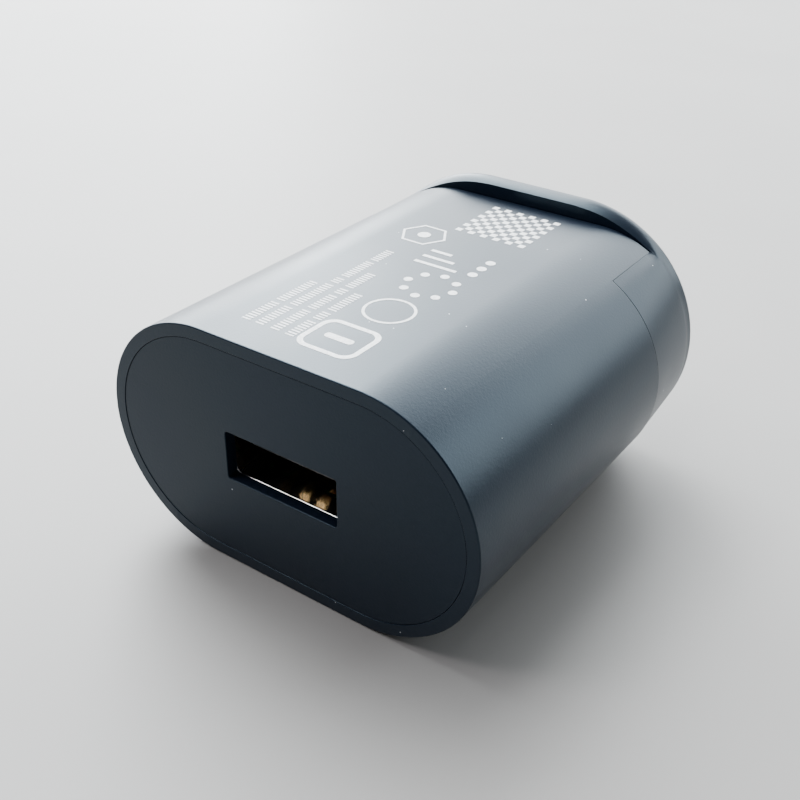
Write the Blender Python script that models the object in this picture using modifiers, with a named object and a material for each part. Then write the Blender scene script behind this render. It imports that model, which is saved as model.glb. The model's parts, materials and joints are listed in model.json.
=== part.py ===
"""USB wall charger with a fixed Australian and New Zealand two-pin plug.

Frame: +Z is up, +X runs across the charger, and +Y points into the wall socket. The origin is the
centre of the plug face, which lies against the socket. The USB port faces -Y.
The housing is a flattened oval tube, a front panel in its mouth and a plug base at its rear. The plug
base has two side ears that lie flush in the tube's cut-away ends, and a rim that stands proud of it.
"""

import math

import bmesh
import bpy
from mathutils import Matrix, Vector

MM = 0.001

# Driving dimensions of the housing.
BODY_WIDTH = 41.6 * MM
BODY_THICKNESS = 24.5 * MM
BODY_DEPTH = 45.0 * MM
WALL = 1.6 * MM
RIM_WIDTH = 39.6 * MM
RIM_THICKNESS = 28.1 * MM
RIM_DEPTH = 2.3 * MM
RIM_EDGE_RADIUS = 0.8 * MM
EAR_DEPTH = 11.1 * MM
EAR_SPLIT_ANGLE = math.radians(61)
PART_GAP = 0.12 * MM
FIT_GAP = 0.15 * MM
ROUND_STEPS = 24

# Stadium outlines are a half straight length and an end radius.
BODY_RADIUS = BODY_THICKNESS / 2
BODY_STRAIGHT = BODY_WIDTH / 2 - BODY_RADIUS
INNER_RADIUS = BODY_RADIUS - WALL
RIM_RADIUS = RIM_THICKNESS / 2
RIM_STRAIGHT = RIM_WIDTH / 2 - RIM_RADIUS
EAR_INNER_RADIUS = INNER_RADIUS - 0.45 * MM
SKIRT_RADIUS = INNER_RADIUS - FIT_GAP
SKIRT_WALL = 1.2 * MM
SKIRT_FRONT_Y = -6.0 * MM
BASE_WALL = 2.2 * MM
FRONT_Y = -BODY_DEPTH
STEP_Y = -RIM_DEPTH
EAR_FRONT_Y = -EAR_DEPTH
EAR_SPLIT_X = BODY_STRAIGHT + BODY_RADIUS * math.cos(EAR_SPLIT_ANGLE)

# How far the base's outline has grown from the tube's to the rim's where it steps up from the tube.
RIM_GROWTH_AT_STEP = 0.77
EAR_GROWTH_AT_STEP = 0.85
RIM_FADE = 8.0 * MM
EAR_FADE = 4.0 * MM

# Front panel and USB port.
PANEL_INSET = 1.25 * MM
PANEL_THICKNESS = 1.9 * MM
PANEL_RECESS = 0.05 * MM
PORT_WIDTH = 12.7 * MM
PORT_HEIGHT = 5.1 * MM
SHELL_RECESS = 1.3 * MM
SHELL_DEPTH = 14.0 * MM
SHELL_OUTER = (13.1 * MM, 5.72 * MM)
SHELL_INNER = (12.5 * MM, 5.12 * MM)
SHELL_SHEET = 0.3 * MM
SHELL_FRONT_Y = FRONT_Y + SHELL_RECESS
SHELL_REAR_Y = SHELL_FRONT_Y + SHELL_DEPTH
TONGUE_HALF_WIDTH = 5.55 * MM
TONGUE_LOW_Z = 0.02 * MM
TONGUE_HIGH_Z = 1.86 * MM
TONGUE_FRONT_Y = SHELL_FRONT_Y + 1.3 * MM
CONTACT_X = [-3.5 * MM, -1.0 * MM, 1.0 * MM, 3.5 * MM]
CONTACT_WIDTH = 1.1 * MM
CONTACT_THICKNESS = 0.25 * MM
CONTACT_ROOT_Y = SHELL_REAR_Y - 4.0 * MM
CONTACT_ROOT_Z = 0.45 * MM
CONTACT_CREST_Y = -39.2 * MM
TERMINAL_DROP_Y = SHELL_REAR_Y + 0.7 * MM

# Circuit board, which slides in rails along the tube.
BOARD_TOP_Z = -3.4 * MM
BOARD_THICKNESS = 1.6 * MM
BOARD_BOTTOM_Z = BOARD_TOP_Z - BOARD_THICKNESS
BOARD_HALF_WIDTH = 16.9 * MM
BOARD_FRONT_Y = -42.7 * MM
BOARD_REAR_Y = -6.6 * MM
LEAD_END_Z = BOARD_BOTTOM_Z - 1.2 * MM
LEAD_RADIUS = 0.3 * MM
HOLE_RADIUS = 0.5 * MM
SEAT_GAP = 0.1 * MM

# Two-pin plug: flat blades at 30 degrees, in an upside-down V.
PIN_SPACING = 13.7 * MM
PIN_TILT = math.radians(30)
PIN_WIDTH = 6.35 * MM
PIN_THICKNESS = 1.6 * MM
PIN_LENGTH = 17.06 * MM
PIN_TAIL = 7.0 * MM
PIN_INSULATION = 9.0 * MM
PIN_INSULATION_WALL = 0.35 * MM

# Transformer, lying with its winding along Y.
TRANSFORMER_CENTRE = Vector((0, -19.0 * MM, 3.4 * MM))
CORE_WIDTH = 16.0 * MM
CORE_LENGTH = 14.4 * MM
CORE_THICKNESS = 5.0 * MM
CORE_LEG = 2.0 * MM
CENTRE_LEG = 4.0 * MM


def clear_scene():
    for thing in list(bpy.data.objects):
        bpy.data.objects.remove(thing)


def new_collection(name):
    made = bpy.data.collections.new(name)
    bpy.context.scene.collection.children.link(made)
    return made


clear_scene()
PARTS = new_collection("usb_wall_charger")
CUTTERS = new_collection("cutters")


def material(name, colour, roughness, metallic=0.0):
    """A Principled material, made once for each name."""
    made = bpy.data.materials.get(name)
    if made:
        return made
    made = bpy.data.materials.new(name)
    made.use_nodes = True
    shader = made.node_tree.nodes["Principled BSDF"]
    shader.inputs["Base Color"].default_value = (*colour, 1)
    shader.inputs["Roughness"].default_value = roughness
    shader.inputs["Metallic"].default_value = metallic
    return made


def navy_plastic():
    return material("navy_plastic", (0.0045, 0.0085, 0.018), 0.34)


def panel_plastic():
    return material("panel_plastic", (0.0045, 0.0085, 0.018), 0.36)


def nickel():
    return material("nickel_plate", (0.72, 0.69, 0.62), 0.22, 1.0)


def black_plastic():
    return material("black_plastic", (0.012, 0.012, 0.013), 0.45)


def steel():
    return material("shell_steel", (0.62, 0.62, 0.62), 0.25, 1.0)


def gold():
    return material("contact_gold", (0.85, 0.62, 0.25), 0.2, 1.0)


def fibreglass():
    return material("board_fibreglass", (0.02, 0.12, 0.05), 0.5)


def ferrite():
    return material("ferrite", (0.05, 0.05, 0.052), 0.6)


def copper():
    return material("winding_copper", (0.55, 0.22, 0.1), 0.35, 1.0)


def tape():
    return material("tape_yellow", (0.75, 0.55, 0.05), 0.4)


def aluminium():
    return material("capacitor_aluminium", (0.8, 0.8, 0.8), 0.3, 1.0)


def sleeve_film():
    return material("capacitor_sleeve", (0.02, 0.03, 0.08), 0.3)


def rubber():
    return material("rubber_bung", (0.03, 0.03, 0.03), 0.7)


def ceramic_blue():
    return material("ceramic_blue", (0.03, 0.12, 0.4), 0.3)


def epoxy():
    return material("chip_epoxy", (0.02, 0.02, 0.022), 0.55)


def silicone():
    return material("thermal_silicone", (0.45, 0.48, 0.5), 0.7)


def film():
    return material("insulation_film", (0.85, 0.83, 0.7), 0.3)


def place(name, mesh, finish=None, matrix=None):
    """An object in the parts collection."""
    made = bpy.data.objects.new(name, mesh)
    PARTS.objects.link(made)
    if matrix is not None:
        made.matrix_world = matrix
    if finish:
        made.data.materials.clear()
        made.data.materials.append(finish)
    return made


def make_cutter(thing):
    """Moves an object to the cutters, so that it is a helper and not a part."""
    PARTS.objects.unlink(thing)
    CUTTERS.objects.link(thing)
    thing.hide_render = True
    thing.display_type = "WIRE"
    return thing


def boolean(target, other, operation="DIFFERENCE"):
    """A Boolean modifier with the other object, which becomes a helper."""
    modifier = target.modifiers.new(f"{operation.lower()}_{other.name}", "BOOLEAN")
    modifier.operation = operation
    modifier.object = make_cutter(other)
    return target


def cut(target, *others):
    for other in others:
        boolean(target, other)
    return target


def join(target, *others):
    for other in others:
        boolean(target, other, "UNION")
    return target


def bevel(thing, width, segments=2):
    """Rounds every edge sharper than 30 degrees."""
    modifier = thing.modifiers.new("bevel", "BEVEL")
    modifier.width = width
    modifier.segments = segments
    modifier.limit_method = "ANGLE"
    return thing


def bevel_end(thing, end_y, width, segments=3):
    """Rounds only the edges that lie in the plane y = end_y."""
    mesh = thing.data
    weights = mesh.attributes.new("bevel_weight_edge", "FLOAT", "EDGE")
    flat_cap = {
        tuple(sorted(key))
        for face in mesh.polygons
        if all(abs((thing.matrix_world @ mesh.vertices[i].co).y - end_y) < 1e-6 for i in face.vertices)
        for key in face.edge_keys
    }
    for edge in mesh.edges:
        if tuple(sorted(edge.vertices)) in flat_cap:
            weights.data[edge.index].value = 1.0
    modifier = thing.modifiers.new("end_bevel", "BEVEL")
    modifier.width = width
    modifier.segments = segments
    modifier.limit_method = "WEIGHT"
    return thing


def smooth(thing, angle=35):
    thing.data.shade_smooth()
    thing.data.set_sharp_from_angle(angle=math.radians(angle))
    return thing


def stadium(half_straight, radius, steps=ROUND_STEPS):
    """Outline of two half circles joined by straight sides, anticlockwise."""
    points = []
    for side in (1, -1):
        for step in range(steps + 1):
            angle = -math.pi / 2 + math.pi * step / steps
            across, up = radius * math.cos(angle), radius * math.sin(angle)
            points.append((side * (half_straight + across), side * up))
    return points


def rectangle(width, height, radius=0.0, centre=(0, 0), steps=3):
    """Outline of a rectangle, with round corners where radius isn't 0, anticlockwise."""
    points = []
    for turn, (sx, sy) in enumerate(((1, 1), (-1, 1), (-1, -1), (1, -1))):
        corner = (centre[0] + sx * (width / 2 - radius), centre[1] + sy * (height / 2 - radius))
        if radius == 0:
            points.append(corner)
            continue
        for step in range(steps + 1):
            angle = math.pi / 2 * (turn + step / steps)
            points.append((corner[0] + radius * math.cos(angle), corner[1] + radius * math.sin(angle)))
    return points


# How an outline's two directions and its thickness lie in the world, for each extrusion axis.
EXTRUSION_FRAMES = {
    "X": Matrix(((0, 0, 1), (1, 0, 0), (0, 1, 0))),
    "Y": Matrix(((1, 0, 0), (0, 0, -1), (0, 1, 0))),
    "Z": Matrix.Identity(3),
}


def extrude(name, outlines, axis, low, high, finish=None):
    """A prism of flat outlines, the first with the rest as holes, from low to high along an axis."""
    curve = bpy.data.curves.new(name, "CURVE")
    curve.dimensions = "2D"
    curve.fill_mode = "BOTH"
    curve.extrude = (high - low) / 2
    for outline in outlines:
        spline = curve.splines.new("POLY")
        spline.points.add(len(outline) - 1)
        for point, (u, v) in zip(spline.points, outline):
            point.co = (u, v, 0, 1)
        spline.use_cyclic_u = True
    middle = Vector((0, 0, 0))
    middle["XYZ".index(axis)] = (low + high) / 2
    matrix = Matrix.Translation(middle) @ EXTRUSION_FRAMES[axis].to_4x4()
    return curve_to_mesh(name, curve, matrix, finish)


def curve_to_mesh(name, curve, matrix, finish):
    """The curve's evaluated shape as a mesh object, with its caps welded and flat faces merged."""
    guide = bpy.data.objects.new(name + "_curve", curve)
    bpy.context.scene.collection.objects.link(guide)
    guide.matrix_world = matrix
    bpy.context.view_layer.update()
    graph = bpy.context.evaluated_depsgraph_get()
    mesh = bpy.data.meshes.new_from_object(guide.evaluated_get(graph))
    bpy.data.objects.remove(guide)
    shape = bmesh.new()
    shape.from_mesh(mesh)
    bmesh.ops.remove_doubles(shape, verts=shape.verts, dist=1e-6)
    bmesh.ops.dissolve_limit(shape, angle_limit=math.radians(0.5), verts=shape.verts, edges=shape.edges)
    bmesh.ops.recalc_face_normals(shape, faces=shape.faces)
    shape.to_mesh(mesh)
    shape.free()
    mesh.name = name
    return place(name, mesh, finish, matrix)


def wire(name, points, radius, finish=None):
    """A round wire through the points."""
    curve = bpy.data.curves.new(name, "CURVE")
    curve.dimensions = "3D"
    curve.bevel_depth = radius
    curve.bevel_resolution = 1
    curve.use_fill_caps = True
    spline = curve.splines.new("POLY")
    spline.points.add(len(points) - 1)
    for point, place_at in zip(spline.points, points):
        point.co = (*place_at, 1)
    return curve_to_mesh(name, curve, Matrix.Identity(4), finish)


def box(name, low, high, finish=None):
    """A box between two corners."""
    mesh = bpy.data.meshes.new(name)
    shape = bmesh.new()
    bmesh.ops.create_cube(shape, size=1)
    low, high = Vector(low), Vector(high)
    stretch = Matrix.Diagonal((high - low).to_4d())
    bmesh.ops.transform(shape, verts=shape.verts, matrix=stretch)
    shape.to_mesh(mesh)
    shape.free()
    return place(name, mesh, finish, Matrix.Translation((low + high) / 2))


def mirrored_boxes(name, low, high):
    """A box and its mirror image in X, as one helper shape each."""
    right = box(name + "_right", low, high)
    left = box(name + "_left", (-high[0], low[1], low[2]), (-low[0], high[1], high[2]))
    return [right, left]


def cylinders(name, centres, radius, low_z, high_z, segments=8):
    """Upright cylinders at (x, y) centres, in one mesh."""
    mesh = bpy.data.meshes.new(name)
    shape = bmesh.new()
    for x, y in centres:
        bmesh.ops.create_cone(
            shape,
            cap_ends=True,
            segments=segments,
            radius1=radius,
            radius2=radius,
            depth=high_z - low_z,
            matrix=Matrix.Translation((x, y, (low_z + high_z) / 2)),
        )
    shape.to_mesh(mesh)
    shape.free()
    return place(name, mesh)


def turned(name, profile, finish, matrix, steps=ROUND_STEPS, closed=False):
    """A turned shape about its own Z axis, from a profile of (radius, height) points, top to bottom."""
    mesh = bpy.data.meshes.new(name)
    edges = [(i, i + 1) for i in range(len(profile) - 1)]
    if closed:
        edges.append((len(profile) - 1, 0))
    mesh.from_pydata([(r, 0, z) for r, z in profile], edges, [])
    made = place(name, mesh, finish, matrix)
    screw = made.modifiers.new("turn", "SCREW")
    screw.steps = steps
    screw.render_steps = steps
    screw.use_merge_vertices = True
    screw.merge_threshold = 1e-6
    return made


def loft(name, sections, finish=None):
    """A closed solid through outlines of equal point counts, each a (y, outline) pair, front to rear."""
    mesh = bpy.data.meshes.new(name)
    shape = bmesh.new()
    rings = [[shape.verts.new((x, y, z)) for x, z in outline] for y, outline in sections]
    count = len(rings[0])
    for front, rear in zip(rings, rings[1:]):
        for i in range(count):
            shape.faces.new((front[i], front[(i + 1) % count], rear[(i + 1) % count], rear[i]))
    shape.faces.new(reversed(rings[0]))
    shape.faces.new(rings[-1])
    bmesh.ops.recalc_face_normals(shape, faces=shape.faces)
    shape.to_mesh(mesh)
    shape.free()
    return place(name, mesh, finish)


# ---------------------------------------------------------------- housing


def make_sleeve():
    """The oval tube with its front rebate, board rails and the two cut-away rear ends."""
    past = 2 * MM
    rear_y = STEP_Y - PART_GAP
    sleeve = extrude(
        "housing_sleeve", [stadium(BODY_STRAIGHT, BODY_RADIUS)], "Y", FRONT_Y, rear_y, navy_plastic()
    )
    bevel_end(sleeve, FRONT_Y, 0.35 * MM)
    inside = extrude(
        "sleeve_inside",
        [stadium(BODY_STRAIGHT, INNER_RADIUS)],
        "Y",
        FRONT_Y + PANEL_THICKNESS + PANEL_RECESS,
        rear_y + past,
    )
    rebate = extrude(
        "panel_rebate",
        [stadium(BODY_STRAIGHT, BODY_RADIUS - PANEL_INSET)],
        "Y",
        FRONT_Y - past,
        FRONT_Y + PANEL_THICKNESS + PANEL_RECESS + 0.01 * MM,
    )
    ends = mirrored_boxes(
        "ear_room",
        (EAR_SPLIT_X, EAR_FRONT_Y - PART_GAP, -BODY_THICKNESS),
        (BODY_WIDTH, rear_y + past, BODY_THICKNESS),
    )
    cut(sleeve, inside, rebate, *ends)
    rail_front, rail_rear = BOARD_FRONT_Y + 1 * MM, EAR_FRONT_Y - 1 * MM
    lower = mirrored_boxes(
        "rail_below",
        (15.9 * MM, rail_front, BOARD_BOTTOM_Z - 1.2 * MM),
        (18.4 * MM, rail_rear, BOARD_BOTTOM_Z - SEAT_GAP),
    )
    upper = mirrored_boxes(
        "rail_above",
        (16.2 * MM, rail_front, BOARD_TOP_Z + SEAT_GAP),
        (19.4 * MM, rail_rear, BOARD_TOP_Z + 1.2 * MM),
    )
    join(sleeve, *lower, *upper)
    return smooth(sleeve)


def make_front_panel():
    """The oval panel with the USB opening, and a pocket behind it for the metal shell's mouth."""
    radius = BODY_RADIUS - PANEL_INSET - FIT_GAP / 2
    front_y = FRONT_Y + PANEL_RECESS
    rear_y = front_y + PANEL_THICKNESS - SEAT_GAP
    panel = extrude("front_panel", [stadium(BODY_STRAIGHT, radius)], "Y", front_y, rear_y, panel_plastic())
    opening = extrude(
        "port_opening",
        [rectangle(PORT_WIDTH, PORT_HEIGHT, 0.25 * MM)],
        "Y",
        front_y - 1 * MM,
        rear_y + 1 * MM,
    )
    pocket = extrude(
        "shell_pocket",
        [rectangle(SHELL_OUTER[0] + 0.4 * MM, SHELL_OUTER[1] + 0.4 * MM, 0.7 * MM)],
        "Y",
        SHELL_FRONT_Y - SEAT_GAP,
        rear_y + 1 * MM,
    )
    return smooth(cut(panel, opening, pocket))


def growth_at_step(x):
    """The outline's growth at the step: none at the ears' seams, most at the middle and the ends."""
    past_seam = abs(x) - EAR_SPLIT_X
    if past_seam > 0:
        return EAR_GROWTH_AT_STEP * min(1.0, past_seam / EAR_FADE)
    share = min(1.0, -past_seam / RIM_FADE)
    return RIM_GROWTH_AT_STEP * share * (2 - share)


def base_outline(growth, inset=0.0):
    """The base's outline, where growth gives its share of the way to the rim's outline for each x."""
    tube = stadium(BODY_STRAIGHT, BODY_RADIUS - inset)
    rim = stadium(RIM_STRAIGHT, RIM_RADIUS - inset)
    return [tuple(Vector(point).lerp(Vector(grown), growth(point[0]))) for point, grown in zip(tube, rim)]


def make_plug_base():
    """The rear piece: the plug face and rim, the two ears, and a skirt that plugs the tube."""
    past = 1 * MM
    sections = [(EAR_FRONT_Y, base_outline(lambda x: 0.0)), (STEP_Y, base_outline(growth_at_step))]
    edge_steps = 4
    for step in range(edge_steps + 1):
        turn = math.pi / 2 * step / edge_steps
        y = RIM_EDGE_RADIUS * (math.sin(turn) - 1)
        sections.append((y, base_outline(lambda x: 1.0, RIM_EDGE_RADIUS * (1 - math.cos(turn)))))
    base = loft("plug_base", sections, navy_plastic())
    middle = box(
        "between_ears",
        (-EAR_SPLIT_X - PART_GAP, EAR_FRONT_Y - past, -RIM_THICKNESS),
        (EAR_SPLIT_X + PART_GAP, STEP_Y, RIM_THICKNESS),
    )
    cut(base, middle)
    skirt = extrude(
        "skirt", [stadium(BODY_STRAIGHT, SKIRT_RADIUS)], "Y", SKIRT_FRONT_Y, STEP_Y + 0.3 * MM
    )
    join(base, skirt)
    ear_hollow = extrude(
        "ear_hollow",
        [stadium(BODY_STRAIGHT, EAR_INNER_RADIUS)],
        "Y",
        EAR_FRONT_Y - past,
        SKIRT_FRONT_Y - SEAT_GAP,
    )
    skirt_hollow = extrude(
        "skirt_hollow",
        [stadium(BODY_STRAIGHT, SKIRT_RADIUS - SKIRT_WALL)],
        "Y",
        EAR_FRONT_Y - past,
        -BASE_WALL,
    )
    cut(base, ear_hollow, skirt_hollow)
    boss = (PIN_WIDTH + 3.2 * MM, PIN_THICKNESS + 2.8 * MM)
    slot = (PIN_WIDTH + 0.2 * MM, PIN_THICKNESS + 0.2 * MM)
    join(base, *[pin_prism(f"boss_{side}", side, *boss, -5.0 * MM, -BASE_WALL / 2) for side in (-1, 1)])
    cut(base, *[pin_prism(f"pin_slot_{side}", side, *slot, -9 * MM, 2 * MM) for side in (-1, 1)])
    return smooth(base)


# ---------------------------------------------------------------- plug pins


def pin_outline(side, width, thickness, radius=0.0):
    """A blade's cross-section, leaning so that its top is nearer the centre line."""
    turn = Matrix.Rotation(side * PIN_TILT, 2)
    centre = Vector((side * PIN_SPACING / 2, 0))
    return [tuple(centre + turn @ Vector(point)) for point in rectangle(thickness, width, radius, steps=2)]


def pin_prism(name, side, width, thickness, low_y, high_y, finish=None, radius=0.0):
    return extrude(name, [pin_outline(side, width, thickness, radius)], "Y", low_y, high_y, finish)


def make_pin(name, side):
    """A flat blade, thinner where its insulation lies."""
    corner = 0.3 * MM
    blade = pin_prism(name, side, PIN_WIDTH, PIN_THICKNESS, PIN_INSULATION, PIN_LENGTH, nickel(), corner)
    bevel_end(blade, PIN_LENGTH, 0.5 * MM, 2)
    waist = PIN_INSULATION_WALL + 0.05 * MM
    shank = pin_prism(
        name + "_shank",
        side,
        PIN_WIDTH - 2 * waist,
        PIN_THICKNESS - 2 * waist,
        -PIN_TAIL,
        PIN_INSULATION + 0.5 * MM,
    )
    return smooth(join(blade, shank))


def make_pin_insulator(name, side):
    """The sleeve of insulation round a blade's root, flush with the blade."""
    inner = PIN_INSULATION_WALL
    outlines = [
        pin_outline(side, PIN_WIDTH, PIN_THICKNESS, 0.3 * MM),
        pin_outline(side, PIN_WIDTH - 2 * inner, PIN_THICKNESS - 2 * inner),
    ]
    return smooth(
        extrude(name, outlines, "Y", -4.5 * MM, PIN_INSULATION - 0.05 * MM, black_plastic())
    )


def make_pin_lead(name, side):
    """The wire from a blade's inner end down to the board."""
    x = side * PIN_SPACING / 2
    drop_y = -PIN_TAIL - 1.2 * MM
    points = [
        (x, -PIN_TAIL - SEAT_GAP, 0),
        (x, drop_y + 0.3 * MM, 0),
        (x, drop_y, -0.4 * MM),
        (x, drop_y, LEAD_END_Z),
    ]
    return wire(name, points, LEAD_RADIUS, copper())


# ---------------------------------------------------------------- USB receptacle


def make_usb_shell():
    """The folded steel shell with four spring tabs and two legs through the board."""
    outlines = [
        rectangle(*SHELL_OUTER, 0.55 * MM),
        rectangle(*SHELL_INNER, 0.3 * MM),
    ]
    shell = extrude("usb_shell", outlines, "Y", SHELL_FRONT_Y, SHELL_REAR_Y, steel())
    window_front, window_rear = SHELL_FRONT_Y + 2.2 * MM, SHELL_FRONT_Y + 7.4 * MM
    tab_half, window_half = 1.0 * MM, 1.35 * MM
    middle_z = (SHELL_OUTER[1] + SHELL_INNER[1]) / 4
    for x in (-3.4 * MM, 3.4 * MM):
        for up in (-1, 1):
            z = up * middle_z
            name = f"{'left' if x < 0 else 'right'}_{'top' if up > 0 else 'bottom'}"
            window = box(
                "window_" + name,
                (x - window_half, window_front, z - 0.4 * MM),
                (x + window_half, window_rear, z + 0.4 * MM),
            )
            tab = box(
                "tab_" + name,
                (x - tab_half, window_front + 0.4 * MM, z - SHELL_SHEET / 2 + 0.01 * MM),
                (x + tab_half, window_rear + 0.3 * MM, z + SHELL_SHEET / 2 - 0.01 * MM),
            )
            cut(shell, window)
            join(shell, tab)
    for side in (-1, 1):
        x = side * (SHELL_OUTER[0] - SHELL_SHEET) / 2
        leg = box(
            f"leg_{side}",
            (x - 0.14 * MM, SHELL_REAR_Y - 6.0 * MM, LEAD_END_Z),
            (x + 0.14 * MM, SHELL_REAR_Y - 4.0 * MM, 0),
        )
        join(shell, leg)
    return smooth(shell)


def make_usb_insulator():
    """The moulded block in the shell's rear and the tongue that carries the contacts."""
    rear_block = box(
        "usb_insulator",
        (-6.1 * MM, CONTACT_ROOT_Y, -2.4 * MM),
        (6.1 * MM, SHELL_REAR_Y - 0.2 * MM, 2.4 * MM),
        black_plastic(),
    )
    tongue = box(
        "tongue",
        (-TONGUE_HALF_WIDTH, TONGUE_FRONT_Y, TONGUE_LOW_Z),
        (TONGUE_HALF_WIDTH, CONTACT_ROOT_Y + 0.5 * MM, TONGUE_HIGH_Z),
    )
    join(rear_block, bevel(tongue, 0.2 * MM, 1))
    for number, x in enumerate(CONTACT_X, 1):
        groove = box(
            f"groove_{number}",
            (x - 0.7 * MM, TONGUE_FRONT_Y + 0.4 * MM, -0.5 * MM),
            (x + 0.7 * MM, CONTACT_ROOT_Y + 0.01 * MM, 1.25 * MM),
        )
        channel = box(
            f"channel_{number}",
            (x - 0.65 * MM, CONTACT_ROOT_Y - 0.5 * MM, 0.22 * MM),
            (x + 0.65 * MM, SHELL_REAR_Y + 1 * MM, 0.68 * MM),
        )
        cut(rear_block, groove, channel)
    return smooth(rear_block)


def ribbon_outline(path, thickness):
    """A strip of even thickness along a path of (y, z) points, as a closed outline."""
    points = [Vector(p) for p in path]
    left, right = [], []
    for i, point in enumerate(points):
        before, after = points[max(i - 1, 0)], points[min(i + 1, len(points) - 1)]
        along = (after - before).normalized()
        across = Vector((-along.y, along.x)) * thickness / 2
        left.append(tuple(point + across))
        right.append(tuple(point - across))
    return left + right[::-1]


def make_usb_contact(number, x):
    """A sprung contact. Its crest stands below the tongue, and its root is the hinge's axis."""
    path = [
        (CONTACT_ROOT_Y - 0.1 * MM, CONTACT_ROOT_Z),
        (CONTACT_ROOT_Y - 1.6 * MM, CONTACT_ROOT_Z),
        (CONTACT_CREST_Y + 0.8 * MM, -0.3 * MM),
        (CONTACT_CREST_Y, -0.42 * MM),
        (CONTACT_CREST_Y - 0.7 * MM, -0.3 * MM),
        (CONTACT_CREST_Y - 1.5 * MM, 0.35 * MM),
    ]
    root = Matrix.Translation((0, CONTACT_ROOT_Y, CONTACT_ROOT_Z))
    contact = extrude(
        f"usb_contact_{number}",
        [ribbon_outline(path, CONTACT_THICKNESS)],
        "X",
        x - CONTACT_WIDTH / 2,
        x + CONTACT_WIDTH / 2,
        gold(),
    )
    move_origin(contact, root)
    return smooth(contact)


def move_origin(thing, matrix):
    """Puts an object's origin at a new place without moving its shape."""
    thing.data.transform(matrix.inverted() @ thing.matrix_world)
    thing.matrix_world = matrix


def make_usb_terminal(number, x):
    """The fixed half of a contact strip, from the tongue's root down through the board."""
    path = [
        (CONTACT_ROOT_Y, CONTACT_ROOT_Z),
        (TERMINAL_DROP_Y - 0.35 * MM, CONTACT_ROOT_Z),
        (TERMINAL_DROP_Y, CONTACT_ROOT_Z - 0.35 * MM),
        (TERMINAL_DROP_Y, LEAD_END_Z),
    ]
    outline = ribbon_outline(path, CONTACT_THICKNESS)
    half = 0.35 * MM
    terminal = extrude(f"usb_terminal_{number}", [outline], "X", x - half, x + half, gold())
    return smooth(terminal)


# ---------------------------------------------------------------- board and its parts


def make_board(hole_centres):
    """The circuit board with a hole for each lead and slots for the USB shell's legs."""
    board = box(
        "main_board",
        (-BOARD_HALF_WIDTH, BOARD_FRONT_Y, BOARD_BOTTOM_Z),
        (BOARD_HALF_WIDTH, BOARD_REAR_Y, BOARD_TOP_Z),
        fibreglass(),
    )
    below, above = BOARD_BOTTOM_Z - 1 * MM, BOARD_TOP_Z + 1 * MM
    holes = cylinders("lead_holes", hole_centres, HOLE_RADIUS, below, above)
    leg_x = (SHELL_OUTER[0] - SHELL_SHEET) / 2
    legs = mirrored_boxes(
        "leg_slot",
        (leg_x - 0.3 * MM, SHELL_REAR_Y - 6.2 * MM, below),
        (leg_x + 0.3 * MM, SHELL_REAR_Y - 3.8 * MM, above),
    )
    return cut(board, holes, *legs)


def frame_at(x, y, z, lying=False):
    """Where a capacitor stands, or lies with its leads towards +Y."""
    turn = Matrix.Rotation(math.pi / 2, 4, "X") if lying else Matrix.Identity(4)
    return Matrix.Translation((x, y, z)) @ turn


def make_capacitor(name, radius, height, matrix, lead_wires):
    """A can, its printed film sleeve and the rubber bung with two leads."""
    groove = height * 0.14
    bung_height = 0.6 * MM
    film_wall, film_gap = 0.12 * MM, 0.05 * MM
    can_radius = radius - film_wall - film_gap
    can_profile = [
        (0, height),
        (can_radius - 0.5 * MM, height),
        (can_radius, height - 0.5 * MM),
        (can_radius, groove + 0.4 * MM),
        (can_radius - 0.4 * MM, groove),
        (can_radius, groove - 0.4 * MM),
        (can_radius, bung_height),
        (0, bung_height),
    ]
    film_low, film_high = bung_height, height - 0.3 * MM
    film_profile = [
        (radius - film_wall, film_high),
        (radius, film_high),
        (radius, film_low),
        (radius - film_wall, film_low),
    ]
    bung_radius, bung_top = can_radius * 0.8, bung_height - 0.1 * MM
    bung_profile = [(0, bung_top), (bung_radius, bung_top), (bung_radius, 0), (0, 0)]
    smooth(turned(name + "_can", can_profile, aluminium(), matrix))
    smooth(turned(name + "_sleeve", film_profile, sleeve_film(), matrix, closed=True))
    between_leads = matrix @ Matrix.Rotation(math.radians(11), 4, "Z")
    bung = turned(name + "_bung", bung_profile, rubber(), between_leads, steps=16)
    join(bung, *lead_wires)
    return smooth(bung)


def make_input_capacitors():
    """Two high-voltage capacitors lying beside the transformer. Returns their lead holes."""
    radius, length, spacing = 4.0 * MM, 14.0 * MM, 3.5 * MM
    z = BOARD_TOP_Z + SEAT_GAP + radius
    base_y = -13.0 * MM
    drop_y = base_y + 1.4 * MM
    holes = []
    for label, side in (("left", -1), ("right", 1)):
        centre_x = side * 12.6 * MM
        name = f"input_capacitor_{label}"
        leads = []
        for number, offset in enumerate((-spacing / 2, spacing / 2)):
            x = centre_x + offset
            path = [
                (x, base_y - 0.4 * MM, z),
                (x, drop_y - 0.4 * MM, z),
                (x, drop_y, z - 0.4 * MM),
                (x, drop_y, LEAD_END_Z),
            ]
            leads.append(wire(f"{name}_lead_{number}", path, LEAD_RADIUS))
            holes.append((x, drop_y))
        make_capacitor(name, radius, length, frame_at(centre_x, base_y, z, lying=True), leads)
    return holes


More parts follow.
